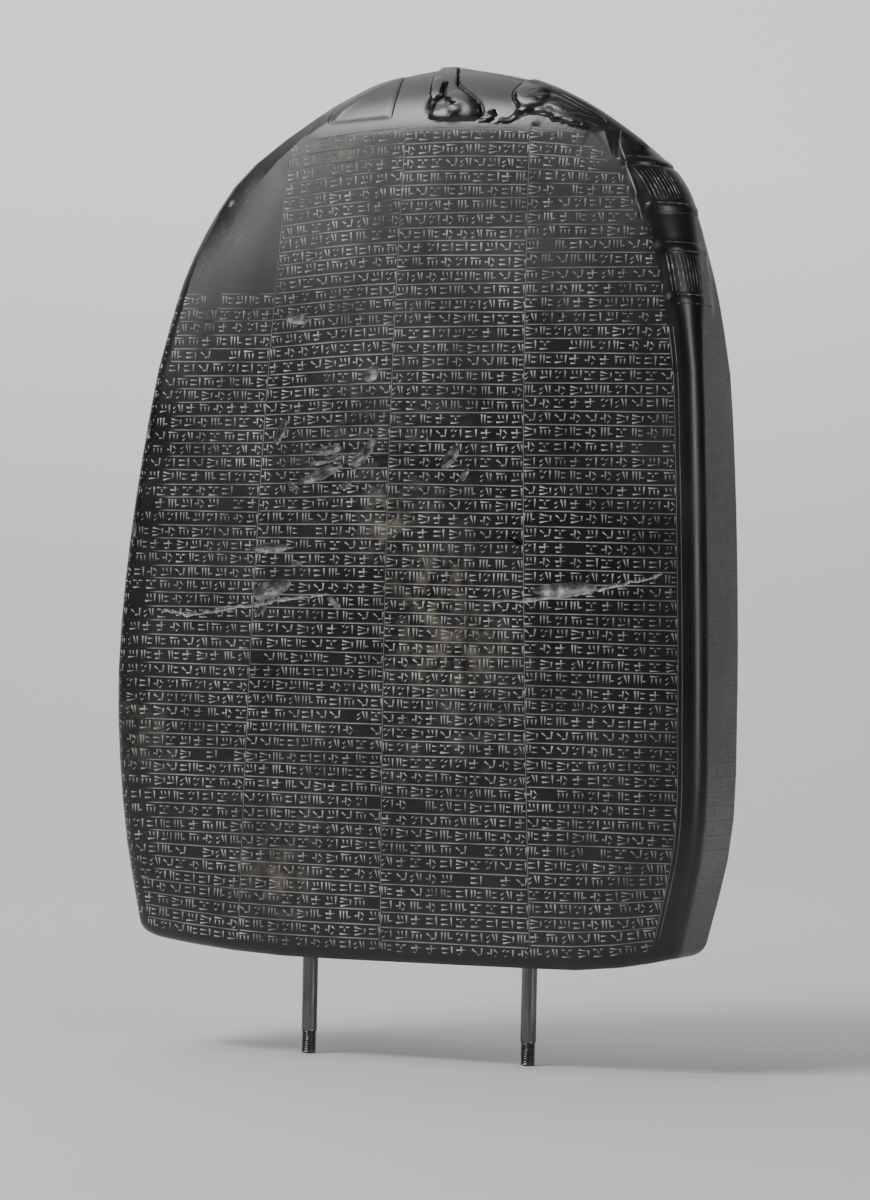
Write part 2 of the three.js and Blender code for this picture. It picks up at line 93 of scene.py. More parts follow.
# %% Sizes of the block
MM = 0.001
stone_height, half_width = 455.0, 160.0
front_depth, back_depth = 40.0, 38.0
front_bulge, full_bulge_depth, full_bulge_width = 5.0, 30.0, 125.0
outline_heights = [0.02, 0.15, 0.29, 0.42, 0.55, 0.67, 0.78, 0.87, 0.937, 0.98]
left_widths = [0.92, 0.975, 1, 0.98, 0.935, 0.88, 0.811, 0.674, 0.43, 0.2]
right_widths = [0.925, 0.993, 0.998, 0.99, 0.975, 0.953, 0.908, 0.824, 0.602, 0.36]
crest_offset = 12.0
thickest_height, upper_thinning, lower_thinning = 200.0, 0.43, 0.15
edge_radius, shoulder_radius, shoulder_drop, shoulder_length = 10.0, 30.0, 155.0, 110.0
top_rounding, foot_rounding, foot_inset = 38.0, 10.0, 0.75
roundest_share, outline_steps = 0.48, 401
flat_lengths, end_rises, end_margin, end_rise_fade, foot_cut = (45.0, 80.0), (7.5, 7.5), 20.0, 60.0, 0.5
shoulder_start = stone_height - shoulder_drop


def smooth_line(points, count):
    """A curve through the points, the same kind that the CAD outline uses."""
    points = np.array(points, float)
    place = np.linspace(0, len(points) - 1, count)
    i = np.minimum(place.astype(int), len(points) - 2)
    t = (place - i)[:, None]
    p0, p1 = points[np.maximum(i - 1, 0)], points[i]
    p2, p3 = points[i + 1], points[np.minimum(i + 2, len(points) - 1)]
    v0, v1 = (p2 - p0) / 2, (p3 - p1) / 2
    return (2 * p1 - 2 * p2 + v0 + v1) * t**3 + (-3 * p1 + 3 * p2 - 2 * v0 - v1) * t**2 + v0 * t + p1


def outline(widths, end):
    stations = [(end * w * half_width, h * stone_height) for w, h in zip(widths, outline_heights)]
    return smooth_line(stations + [(crest_offset, stone_height)], outline_steps)


left_outline, right_outline = outline(left_widths, -1), outline(right_widths, 1)
print("outline from", left_outline[:, 0].min().round(1), "to", right_outline[:, 0].max().round(1), "mm")

# %% Sections of the block
def section_at(height):
    """The level sections at some heights: middle, half width, front, back, swell and corner radius."""
    left = np.interp(height, left_outline[:, 1], left_outline[:, 0])
    right = np.interp(height, right_outline[:, 1], right_outline[:, 0])
    upward = (height - thickest_height) / (stone_height - thickest_height)
    downward = (thickest_height - height) / thickest_height
    lean = np.where(upward > 0, 1 - upper_thinning * upward**2, 1 - lower_thinning * downward**2)
    turn = np.clip((height - stone_height + top_rounding) / top_rounding, 0, 1)
    share = lean * np.sqrt(1 - turn**2)
    foot = np.clip(1 - height / foot_rounding, 0, 1)
    inset = foot_rounding * (1 - np.sqrt(1 - foot**2)) * foot_inset
    half = (right - left) / 2 - inset
    front, back = front_depth * share - inset, back_depth * share - inset
    bulge = front_bulge * np.minimum(np.minimum(1, front / full_bulge_depth), half / full_bulge_width)
    growth = np.clip((height - shoulder_start) / shoulder_length, 0, 1)
    radius = edge_radius + (shoulder_radius - edge_radius) * growth
    radius = np.minimum(radius, roundest_share * np.minimum(front + back - 2 * bulge, 2 * half))
    return (left + right) / 2, half, front, back, bulge, radius


def surface(across, height, side):
    """Points of the smooth block at a place across and a height; side is -1 in front and 1 behind."""
    across, height, side = np.broadcast_arrays(*[np.asarray(v, float) for v in (across, height, side)])
    middle, half, front, back, bulge, radius = section_at(height)
    depth = np.where(side < 0, front, back)
    flat = np.maximum(half - radius, 1e-6)
    away = np.minimum(np.abs(across - middle), half)
    past = np.maximum(0, away - flat)
    share = np.minimum(away, flat) / flat
    y = side * (depth - bulge * share**2 - radius + np.sqrt(np.maximum(0, radius**2 - past**2)))
    flat_length = np.where(across < 0, flat_lengths[0], flat_lengths[1])
    reach = np.clip((np.abs(across) - flat_length) / (half_width - end_margin - flat_length), 0, 1)
    rise = np.where(across < 0, end_rises[0], end_rises[1])
    lift = (rise * reach**2 - foot_cut) * np.clip(1 - height / end_rise_fade, 0, 1)
    return np.stack([across, y, np.maximum(height + lift, 0)], axis=-1)


# The part of a turn, in radians, that each half of a flat narrow side takes up
end_turn = 0.05
end_squeeze = (np.pi / 2 - end_turn) / (np.pi / 2)


def ring_point(angle, height):
    """A point by its way round the block, from the middle of the left narrow side along the front.

    Within end_turn of each end the way crosses the flat narrow side, from its front edge to its back edge.
    """
    middle, half = section_at(height)[:2]
    turn = (np.asarray(angle) + np.pi / 2) % (2 * np.pi) - np.pi / 2
    is_right = turn > np.pi / 2
    to_front = np.where(is_right, np.pi - turn, turn)
    away = np.maximum(np.abs(to_front) - end_turn, 0) / end_squeeze
    across = middle + half * np.cos(away) * np.where(is_right, 1, -1)
    share = np.clip(0.5 - to_front / (2 * end_turn), 0, 1)[..., None]
    return surface(across, height, -1) * (1 - share) + surface(across, height, 1) * share


print("thickest section", [round(float(v), 1) for v in section_at(np.array(200.0))])

# %% [markdown]
# ## Low relief over the top and on the right shoulder
# The figures are low and worn, and their edges are soft. They could be cut as separate solids and joined,
# but joined solids have hard steps. Here a height is worked out for every point of the surface instead:
# an outline gives the distance to its edge, and a smooth ramp turns that distance into a height. Bodies
# and limbs are soft swellings on top, and creases are ramps that go down.

# %% Helpers for heights
def edge_distance(spots, line, is_closed):
    """Distance from each spot to a line of points, and, for a closed line, which spots are inside."""
    line = np.array(line, float)
    start, end = (line, np.roll(line, -1, axis=0)) if is_closed else (line[:-1], line[1:])
    along = end - start
    to_spot = spots[:, None, :] - start[None]
    share = np.clip((to_spot * along).sum(2) / np.maximum((along**2).sum(1), 1e-9), 0, 1)
    gap = np.sqrt(((to_spot - share[..., None] * along) ** 2).sum(2)).min(1)
    x, z = spots[:, :1], spots[:, 1:]
    crosses = (start[:, 1] > z) != (end[:, 1] > z)
    meets = start[:, 0] + (z - start[:, 1]) * along[:, 0] / np.where(along[:, 1] == 0, 1e-9, along[:, 1])
    return gap, (np.sum(crosses & (x < meets), axis=1) % 2 == 1) & is_closed


def ramp(value, length):
    share = np.clip(value / length, 0, 1)
    return share * share * (3 - 2 * share)


def raised_shape(spots, corners, height, softness):
    gap, is_inside = edge_distance(spots, corners, True)
    return height * ramp(np.where(is_inside, gap, 0), softness)


def swelling(spots, centre, radii, turn_degrees, height):
    turn = math.radians(turn_degrees)
    offset = spots - np.array(centre)
    u = (offset[:, 0] * math.cos(turn) + offset[:, 1] * math.sin(turn)) / radii[0]
    v = (offset[:, 1] * math.cos(turn) - offset[:, 0] * math.sin(turn)) / radii[1]
    return height * np.sqrt(np.clip(1 - u**2 - v**2, 0, 1))


def ridge(spots, line, width, height):
    return height * ramp(width / 2 - edge_distance(spots, line, False)[0], width / 2)


# %% Figures over the top
shrine = [(-51, 424), (-15.5, 426.5), (-14.5, 434), (-13.5, 443), (-14, 452), (-30, 449), (-44.5, 437)]
haunches = [(4.5, 426), (3.2, 429.5), (4, 437.5), (3, 443), (2, 450), (6, 456), (14, 456), (17, 449),
            (18.5, 443.7), (23, 440.5), (27.5, 437.6), (31.5, 434), (34, 430.5), (34, 427), (31, 425),
            (18, 424.3)]
creature = [(52, 446), (48.6, 440), (49.7, 435.7), (52.4, 431.4), (50, 426.4), (45.4, 424.2), (50, 424),
            (53.5, 427.2), (59.2, 429.4), (66.6, 428.4), (70, 426.4), (71, 423.8), (74.4, 423.8), (84, 421.5),
            (95, 417.5), (104, 411), (110, 405), (117, 412), (106, 424), (92, 436), (76, 447), (60, 452)]
wing_creases = [[(62, 438.5), (72, 437.5), (86, 430.5), (98, 421)],
                [(62, 435), (72, 434), (84, 428), (96, 418)],
                [(60, 431.6), (70, 431), (82, 425.5), (92, 420)]]
foreleg = [(59, 430), (66.6, 429.4), (71.3, 427.2), (72, 424)]
thigh_crease = [(11.4, 444), (11.4, 438.4), (8, 435), (5, 426.4)]
hock_crease = [(12.3, 436.8), (15.5, 435), (19.5, 432.4)]
curl = [(33.5, 425), (38.2, 425.3), (41, 428), (39.4, 430.2), (36.9, 429)]
crumbs = [(43.2, 424.6), (46, 425), (62.6, 423.6)]
field_edge = [(103.4, 419), (106, 412), (109.1, 406), (112, 398.5), (115, 391.3), (118, 382), (120.6, 374.6)]
# Each swelling of the haunches has its centre, its two radii, its turn in degrees and its height
haunch_swellings = [((22, 432.5), (10, 6), -35, 1.3), ((14, 428.5), (9, 4.5), 15, 1.1),
                    ((7, 441), (4.5, 7), 0, 0.8)]


def figure_height(spots):
    """Height of the figures, in millimetres, at places across and up the face."""
    height = raised_shape(spots, shrine, height=0.45, softness=2.5)
    body = raised_shape(spots, haunches, height=1.5, softness=1.6)
    for entry in haunch_swellings:
        body += np.minimum(body, swelling(spots, *entry))
    body -= ridge(spots, thigh_crease, width=3.4, height=2.0)
    body -= ridge(spots, hock_crease, width=2.0, height=1.1)
    height = np.maximum(height, body)
    beast = raised_shape(spots, creature, height=1.5, softness=1.6)
    beast += np.minimum(beast, swelling(spots, (58, 437), radii=(9, 6), turn_degrees=-10, height=1.0))
    for line in wing_creases:
        beast -= ridge(spots, line, width=1.8, height=0.35)
    height = np.maximum(height, beast)
    height = np.maximum(height, ridge(spots, curl, width=2.2, height=1.3))
    for spot in crumbs:
        height = np.maximum(height, swelling(spots, spot, radii=(1.3, 1.1), turn_degrees=0, height=0.8))
    height = np.maximum(height, ridge(spots, foreleg, width=2.0, height=1.6))
    return np.maximum(height, ridge(spots, field_edge, width=1.6, height=0.9))


probe = np.array([(20.0, 432.0), (-30.0, 438.0), (60.0, 440.0)])
print("heights on haunch, shrine and creature", figure_height(probe).round(2), "mm")

# %% Columns, border and altars
row_pitch, top_margin, foot_margin = 7.2, 33.0, 9.0
first_column_top, side_column_top = stone_height - 110.0, stone_height - 127.0
top_row = stone_height - top_margin
divider_tops, divider_feet = (-0.44, -0.04, 0.375), (-0.545, -0.05, 0.45)
border_inset, border_top_inset = 9.0, 15.0
altars = [(383.0, 402.0), (337.0, 359.0)]
altar_reach, altar_slab, altar_lead = (-1.5, 36.0), 4.4, 0.12
altar_softness, panel_softness, panel_rise = 0.9, 0.5, 0.5
slab_overhang, slab_softness, slab_rise = 1.5, 0.8, 0.8


def divider(index, height):
    low, high = divider_feet[index], divider_tops[index]
    return half_width * (low + (high - low) * height / top_row)


def border(height):
    share = np.clip((height - shoulder_start) / shoulder_length, 0, 1)
    edge = np.interp(height, right_outline[:, 1], right_outline[:, 0])
    return edge - border_inset - (border_top_inset - border_inset) * share


def border_angle(height):
    middle, half = section_at(height)[:2]
    away = np.arccos(np.clip((border(height) - middle) / half, -1, 1))
    return np.pi - end_turn - away * end_squeeze


def way_round(angle, height, steps=48):
    """How far round the right shoulder a point is from the border line, in millimetres."""
    share = np.linspace(0, 1, steps)[:, None]
    start = border_angle(height)
    angles = start + (angle - start) * share
    path = ring_point(angles, np.broadcast_to(height, angles.shape))
    return np.sign(angle - start) * np.linalg.norm(np.diff(path, axis=0), axis=2).sum(0)


def altar_height(way, height):
    low, high = altar_reach
    total = np.zeros_like(way)
    for foot, head in altars:
        panel = ramp(np.minimum(way - low, high - way), altar_softness)
        panel *= ramp(np.minimum(height - foot, head - height), panel_softness)
        total = np.maximum(total, panel_rise * panel)
        for middle in (head + altar_slab / 2, foot - altar_slab / 2):
            slab = ramp(np.minimum(way - low, high - way) + slab_overhang, altar_softness)
            slab *= ramp(altar_slab / 2 - np.abs(height - middle), slab_softness)
            total = np.maximum(total, slab_rise * slab)
    return total


print("border", round(float(border(np.array(200.0))), 1), "mm across at half height")

# %% [markdown]
# ## One skin for the whole stone
# Rings of points at rising heights make a skin with even quads and no seam. Such a skin is coarse enough
# to cut thousands of strokes into later, yet too coarse for the figures, so only the faces under them are
# divided further. Each point remembers its way round and its height as numbers on the mesh, and Blender
# blends these when it divides a face, so every new point can be put exactly on the rule's surface.

# %% Build the skin
shoulder_rings_from, figure_rings_from = 322.0, 418.0
figure_span, altar_field, altar_turn = (-62.0, 124.0), (328.0, 418.0), 0.35
figure_cell, altar_cell = 1.25, 1.7
corner_turn = 0.4
quarter = np.concatenate([np.linspace(0, corner_turn, 9)[:-1], np.linspace(corner_turn, np.pi / 2, 6)])
half_turn = np.concatenate([quarter[:-1], np.pi - quarter[::-1]])
ring_angles = np.unique(np.concatenate([half_turn, half_turn + np.pi]).round(6) % round(2 * np.pi, 6))
ring_angles = np.sort((ring_angles + np.pi / 2) % (2 * np.pi)) - np.pi / 2
ring_heights = np.concatenate([
    foot_rounding * (1 - np.cos(np.linspace(0, np.pi / 2, 6)[:-1])),
    np.linspace(foot_rounding, shoulder_rings_from, 15)[:-1],
    np.linspace(shoulder_rings_from, figure_rings_from, 9)[:-1],
    figure_rings_from + (stone_height - figure_rings_from) * np.sin(np.linspace(0, np.pi / 2, 6))[:-1]])

skin = bmesh.new()
angle_layer = skin.verts.layers.float.new("angle")
height_layer = skin.verts.layers.float.new("height")
rings = []
for height in ring_heights:
    ring = [skin.verts.new((0, 0, 0)) for _ in ring_angles]
    for vert, angle in zip(ring, ring_angles):
        vert[angle_layer], vert[height_layer] = angle, height
    rings.append(ring)
crest = skin.verts.new((0, 0, 0))
crest[angle_layer], crest[height_layer] = np.pi / 2, stone_height
count = len(ring_angles)
for low, high in zip(rings[:-1], rings[1:]):
    for i in range(count):
        skin.faces.new((low[i], low[(i + 1) % count], high[(i + 1) % count], high[i]))
for i in range(count):
    skin.faces.new((rings[-1][i], rings[-1][(i + 1) % count], crest))
print("skin", len(skin.verts), "points in", len(rings), "rings")

# %% Divide it under the figures and altars
def is_figured(angle, height):
    across = ring_point(angle, height)[0]
    return 0 < angle < np.pi and height > figure_rings_from and figure_span[0] < across < figure_span[1]


def is_altar(angle, height):
    is_beside = border_angle(height) - altar_lead < angle < np.pi + altar_turn
    return altar_field[0] < height < altar_field[1] and is_beside


def ends_of(edge):
    return [(vert[angle_layer], vert[height_layer]) for vert in edge.verts]


def divide(mark, is_level, cell):
    """Divides the marked faces across or up into cells of about that size, one column or row at a time."""
    same, other = (1, 0) if is_level else (0, 1)

    def wanted_edges():
        for face in skin.faces:
            if face[region_layer] == mark and len(face.verts) == 4:
                for edge in face.edges:
                    first, second = ends_of(edge)
                    if abs(first[same] - second[same]) < 1e-4:
                        yield edge, round(min(first[other], second[other]), 3)

    lengths = {}
    for edge, key in wanted_edges():
        start, end = [ring_point(*spot) for spot in ends_of(edge)]
        lengths.setdefault(key, []).append(np.linalg.norm(end - start))
    for key, found in lengths.items():
        cuts = round(np.mean(found) / cell) - 1
        if cuts > 0:
            chosen = {edge for edge, place in wanted_edges() if place == key}
            bmesh.ops.subdivide_edges(skin, edges=list(chosen), cuts=cuts, use_grid_fill=False)


region_layer = skin.faces.layers.int.new("region")
for face in skin.faces:
    face_angles = [vert[angle_layer] for vert in face.verts]
    spot = np.mean(face_angles), np.mean([vert[height_layer] for vert in face.verts])
    spans_the_start = max(face_angles) - min(face_angles) > np.pi
    if crest not in face.verts and not spans_the_start:
        face[region_layer] = 1 if is_figured(*spot) else 2 if is_altar(*spot) else 0
for mark, cell in ((1, figure_cell), (2, altar_cell)):
    divide(mark, True, cell)
    divide(mark, False, cell)
print("divided skin", len(skin.verts), "points")

# %% Put every point on the surface and raise the relief
relief_foot, relief_span, relief_back, relief_fade = 366.0, (-64.0, 126.0), (2.0, 3.0), 8.0
shoulder_field, shoulder_turn, crest_cap = (326.0, 420.0), 0.4, 0.5


def outward_normals(angle, height):
    step_a, step_h = 0.004, 0.25
    low, high = np.maximum(height - step_h, 0), np.minimum(height + step_h, stone_height - 0.01)
    along = ring_point(angle + step_a, height) - ring_point(angle - step_a, height)
    upward = ring_point(angle, high) - ring_point(angle, low)
    normal = np.cross(along, upward)
    return normal / np.maximum(np.linalg.norm(normal, axis=1, keepdims=True), 1e-9)


angle = np.array([v[angle_layer] for v in skin.verts])
height = np.array([v[height_layer] for v in skin.verts])
points = ring_point(angle, height)
normals = outward_normals(angle, height)
normals[height > stone_height - crest_cap] = (0, 0, 1)

raise_by = np.zeros(len(points))
is_top = (points[:, 2] > relief_foot) & (points[:, 1] < relief_back[1])
is_top &= (points[:, 0] > relief_span[0]) & (points[:, 0] < relief_span[1])
fade = np.clip((relief_back[0] - points[is_top][:, 1]) / relief_fade, 0, 1)
raise_by[is_top] = figure_height(points[is_top][:, [0, 2]]) * fade
is_shoulder = (height > shoulder_field[0]) & (height < shoulder_field[1])
is_shoulder &= (angle > border_angle(height) - altar_lead) & (angle < np.pi + shoulder_turn)
ways = way_round(angle[is_shoulder], height[is_shoulder])
altar_rise = altar_height(ways, points[is_shoulder][:, 2])
raise_by[is_shoulder] = np.maximum(raise_by[is_shoulder], altar_rise)
points += normals * raise_by[:, None]
points[:, 2] = np.maximum(points[:, 2], 0)
for vert, point in zip(skin.verts, points):
    vert.co = point * MM

# The underside joins the front's lowest points to the back's, strip by strip
foot_ring = sorted([v for v in skin.verts if v[height_layer] < 1e-6], key=lambda v: v.co.x)
front = [v for v in foot_ring if -1e-6 <= v[angle_layer] <= np.pi + 1e-6]
back = [front[0]] + [v for v in foot_ring if v not in front] + [front[-1]]
i = j = 0
while i < len(front) - 1 or j < len(back) - 1:
    step_front = j == len(back) - 1 or (i < len(front) - 1 and front[i + 1].co.x < back[j + 1].co.x)
    corner = front[i + 1] if step_front else back[j + 1]
    if len({front[i], back[j], corner}) == 3:
        skin.faces.new((front[i], back[j], corner))
    i, j = (i + 1, j) if step_front else (i, j + 1)

bmesh.ops.triangulate(skin, faces=skin.faces[:])
bmesh.ops.recalc_face_normals(skin, faces=skin.faces[:])
open_edges = sum(not edge.is_manifold for edge in skin.edges)
skin_mesh = bpy.data.meshes.new("smooth_stone")
skin.to_mesh(skin_mesh)
skin.free()
smooth_stone = bpy.data.objects.new("smooth_stone", skin_mesh)
bpy.context.scene.collection.objects.link(smooth_stone)
print("smooth stone", len(skin_mesh.polygons), "triangles,", open_edges, "open edges")

# %% [markdown]
# ## Finishes first
# Every cut needs a finish for its walls, so the finishes are named before the cutting. The polished skin
# is almost black. The strokes were struck through that skin, and dust has settled in them, so their walls
# are a matt grey; towards the right they are darkened by painted shade. Broken stone in the chips lies
# between the two.

# %% Material helpers
def feed(links, value, entry):
    """Links a socket to an input, or sets the input where the value is a plain one."""
    if isinstance(value, bpy.types.NodeSocket):
        links.new(value, entry)
    else:
        entry.default_value = value


def new_material(name):
    material = bpy.data.materials.new(name)
    material.use_nodes = True
    nodes = material.node_tree.nodes
    return material, nodes, material.node_tree.links, nodes["Principled BSDF"]


def object_noise(nodes, links, scale, detail, roughness=0.55, turn=(0, 0, 0), stretch=None):
    """Noise in the piece's own place, in metres, so that it stays put in every view."""
    place = nodes.new("ShaderNodeTexCoord").outputs["Object"]
    if stretch:
        mapping = nodes.new("ShaderNodeMapping")
        mapping.inputs["Rotation"].default_value = turn
        mapping.inputs["Scale"].default_value = stretch
        links.new(place, mapping.inputs["Vector"])
        place = mapping.outputs["Vector"]
    noise = nodes.new("ShaderNodeTexNoise")
    noise.inputs["Scale"].default_value = scale
    noise.inputs["Detail"].default_value = detail
    noise.inputs["Roughness"].default_value = roughness
    links.new(place, noise.inputs["Vector"])
    return noise.outputs["Fac"]


def grey(value):
    return (value, value, value)


def colour_ramp(nodes, links, source, stops):
    """Colours at positions along a value; a colour that is one number is a grey."""
    node = nodes.new("ShaderNodeValToRGB")
    elements = node.color_ramp.elements
    while len(elements) < len(stops):
        elements.new(0.5)
    for element, (position, colour) in zip(elements, stops):
        element.position = position
        element.color = (*(colour if isinstance(colour, tuple) else grey(colour)), 1)
    links.new(source, node.inputs["Fac"])
    return node.outputs["Color"]


# %% Spots of dust and wear in their own places
def spot_at(nodes, links, place, radius):
    """1 at a place on the stone, falling to 0 at the radius; both in millimetres."""
    away = nodes.new("ShaderNodeVectorMath")
    away.operation = "DISTANCE"
    links.new(nodes.new("ShaderNodeTexCoord").outputs["Object"], away.inputs[0])
    away.inputs[1].default_value = [v * MM for v in place]
    fall = nodes.new("ShaderNodeMapRange")
    fall.interpolation_type = "SMOOTHSTEP"
    links.new(away.outputs["Value"], fall.inputs["Value"])
    fall.inputs["From Min"].default_value = radius * MM
    fall.inputs["From Max"].default_value = 0
    return fall.outputs["Result"]


def add_bump(nodes, links, shader, height, strength, distance):
    bump = nodes.new("ShaderNodeBump")
    bump.inputs["Strength"].default_value = strength
    bump.inputs["Distance"].default_value = distance
    links.new(height, bump.inputs["Height"])
    links.new(bump.outputs["Normal"], shader.inputs["Normal"])


def place_along(nodes, links, axis, low, high, to_low, to_high):
    """A number that runs from to_low to to_high as the place on an axis, in metres, runs from low to high."""
    place = nodes.new("ShaderNodeSeparateXYZ")
    links.new(nodes.new("ShaderNodeTexCoord").outputs["Object"], place.inputs[0])
    node = nodes.new("ShaderNodeMapRange")
    links.new(place.outputs[axis], node.inputs["Value"])
    for label, value in (("From Min", low), ("From Max", high), ("To Min", to_low), ("To Max", to_high)):
        node.inputs[label].default_value = value
    return node.outputs["Result"]


def combine(nodes, links, operation, first, second):
    node = nodes.new("ShaderNodeMath")
    node.operation = operation
    for value, entry in zip((first, second), node.inputs):
        feed(links, value, entry)
    return node.outputs[0]


def blend_colours(nodes, links, share, first, second):
    node = nodes.new("ShaderNodeMix")
    node.data_type = "RGBA"
    links.new(share, node.inputs["Factor"])
    for value, entry in zip((first, second), [i for i in node.inputs if i.type == "RGBA"]):
        feed(links, (*value, 1) if isinstance(value, tuple) else value, entry)
    return next(o for o in node.outputs if o.type == "RGBA")


# Each spot has its place on the stone, in millimetres, and its radius
dust_spots = [(-9, -40, 222, 26), (26, -40, 160, 48), (20, -38, 190, 34), (66, -25, 424, 9),
              (-44, -24, 410, 14), (-66, -38, 40, 34), (-140, -20, 110, 34)]
scuff_spots = [(-10, -40, 250, 90), (30, -40, 120, 90), (-60, -38, 70, 70)]


def spots_together(nodes, links, spots):
    total = 0.0
    for *place, radius in spots:
        total = combine(nodes, links, "MAXIMUM", spot_at(nodes, links, place, radius), total)
    return total


# %% Polished black stone
polished_stone, nodes, links, shader = new_material("polished_stone")
cloud = object_noise(nodes, links, scale=16, detail=6, roughness=0.62)
grain = object_noise(nodes, links, scale=420, detail=3, roughness=0.7)
speckle = colour_ramp(nodes, links, grain, [(0.35, 0.0), (0.75, 1.0)])
black = colour_ramp(nodes, links, cloud, [(0.3, 0.003), (0.52, 0.006), (0.72, 0.016)])
dust_patches = object_noise(nodes, links, scale=130, detail=6, roughness=0.7)
dusty = combine(nodes, links, "MULTIPLY", spots_together(nodes, links, dust_spots),
                colour_ramp(nodes, links, dust_patches, [(0.46, 0.0), (0.68, 0.8)]))
scuff_patches = object_noise(nodes, links, scale=75, detail=7, roughness=0.72,
                             turn=(0.3, 0.5, 0.7), stretch=(1, 1, 2.2))
scuffed = combine(nodes, links, "MULTIPLY", spots_together(nodes, links, scuff_spots),
                  colour_ramp(nodes, links, scuff_patches, [(0.5, 0.0), (0.72, 0.45)]))
scuff_colour, dust_colour, worn_roughness = (0.11, 0.11, 0.108), (0.17, 0.145, 0.10), grey(0.72)
worn = blend_colours(nodes, links, scuffed, black, scuff_colour)
links.new(blend_colours(nodes, links, dusty, worn, dust_colour), shader.inputs["Base Color"])
gloss = colour_ramp(nodes, links, cloud, [(0.28, 0.27), (0.7, 0.40)])
either = combine(nodes, links, "MAXIMUM", dusty, scuffed)
links.new(blend_colours(nodes, links, either, gloss, worn_roughness), shader.inputs["Roughness"])
hairlines = object_noise(nodes, links, scale=260, detail=3, roughness=0.6,
                         turn=(0.2, 0.9, 0.4), stretch=(1, 0.06, 1))
fine = combine(nodes, links, "ADD", combine(nodes, links, "MULTIPLY", hairlines, 0.6), speckle)
add_bump(nodes, links, shader, fine, strength=0.35, distance=0.06 * MM)
shader.inputs["Specular IOR Level"].default_value = 0.55
smooth_stone.data.materials.append(polished_stone)

# %% Dusty walls of the strokes and the rulings, with painted shade towards the right
def dust_with_painted_shade(name, dull, bright):
    """A matt grey dust finish in patches, with dark flecks, and painted shade that darkens it towards the
    right edge.
    """
    material, nodes, links, shader = new_material(name)
    patches = object_noise(nodes, links, scale=45, detail=5)
    pale = colour_ramp(nodes, links, patches, [(0.3, dull), (0.7, bright)])
    # Painted shade: the walls grow darker towards the right edge, where the text gets less light
    painted_shade_rightward = place_along(nodes, links, "X", low=20 * MM, high=150 * MM, to_low=0, to_high=0.62)
    grit = object_noise(nodes, links, scale=900, detail=3, roughness=0.7)
    flecks = combine(nodes, links, "MULTIPLY", grit, 0.5)
    flecks_and_painted_shade = combine(nodes, links, "MAXIMUM", flecks, painted_shade_rightward)
    links.new(blend_colours(nodes, links, flecks_and_painted_shade, pale, grey(0.04)), shader.inputs["Base Color"])
    shader.inputs["Roughness"].default_value = 0.62
    return material


dusty_shaded_stroke = dust_with_painted_shade("dusty_shaded_stroke", 0.24, 0.70)
dusty_shaded_ruling = dust_with_painted_shade("dusty_shaded_ruling", 0.14, 0.40)

# %% Broken stone in chips and cracks
broken_stone, nodes, links, shader = new_material("broken_stone")
lumps = object_noise(nodes, links, scale=210, detail=6, roughness=0.7)
links.new(colour_ramp(nodes, links, lumps, [(0.32, 0.02), (0.5, 0.10), (0.7, (0.46, 0.455, 0.44))]),
          shader.inputs["Base Color"])
links.new(colour_ramp(nodes, links, lumps, [(0.3, 0.30), (0.7, 0.55)]), shader.inputs["Roughness"])
crumbling = object_noise(nodes, links, scale=650, detail=6, roughness=0.75)
add_bump(nodes, links, shader, crumbling, strength=0.8, distance=0.4 * MM)

# %% Grooves cut in the polish, without dust
clean_groove, nodes, links, shader = new_material("clean_groove")
traces = object_noise(nodes, links, scale=160, detail=5, roughness=0.65)
links.new(colour_ramp(nodes, links, traces, [(0.35, 0.02), (0.62, 0.06), (0.78, (0.17, 0.165, 0.155))]),
          shader.inputs["Base Color"])
shader.inputs["Roughness"].default_value = 0.5
print("finishes", [m.name for m in (polished_stone, dusty_shaded_stroke, dusty_shaded_ruling, broken_stone, clean_groove)])

# %% [markdown]
# ## Guide lines before the cutting
# Before a mason cuts a text, the field is ruled. The guides here do the same: for each column they run
# from divider to divider, a little uneven, and they hang slightly where the stone's top curves away. They
# are plain edges, because Geometry Nodes can turn edges into curves and do the rest.

# %% Where rows lie
rng = np.random.default_rng(41)
droop_centre = 20.0
left_droop, left_reach, left_end = 8.0, 92.0, stone_height - 265.0
right_droop, right_reach, right_end = 5.0, 76.0, stone_height - 75.0
guide_step, upright_step = 13.0, 8.0
ruling_margin, row_margin, first_row_margin, side_row_margin = 0.7, 3.3, 3.5, 2.5
level_spread, tilt_spread, side_level_spread, foot_spare = 0.35, 0.3, 0.3, 2.0


def droop(across, height):
    """How far a row hangs at a place across, in millimetres."""
    held = np.maximum(across, divider(0, top_row))
    is_left = across < droop_centre
    reach = (held - droop_centre) / np.where(is_left, left_reach, right_reach)
    end = np.where(is_left, left_end, right_end)
    share = np.clip((height - end) / (top_row - end), 0, 1)
    return np.where(is_left, left_droop, right_droop) * reach**2 * share


def left_edge(height):
    middle, half = section_at(height)[:2]
    return middle - half


def make_guides(name, lines, radius=None):
    """An object of plain edges, one chain for each list of points; radius is a list for each chain."""
    mesh = bpy.data.meshes.new(name)
    verts, edges = [], []
    for line in lines:
        edges += [(len(verts) + i, len(verts) + i + 1) for i in range(len(line) - 1)]
        verts += [tuple(point * MM) for point in line]
    mesh.from_pydata(verts, edges, [])
    if radius is not None:
        layer = mesh.attributes.new("thickness", "FLOAT", "POINT")
        layer.data.foreach_set("value", np.concatenate(radius).astype(np.float32))
    guides = bpy.data.objects.new(name, mesh)
    bpy.context.scene.collection.objects.link(guides)
    print(name, len(lines), "lines,", len(verts), "points")
    return guides


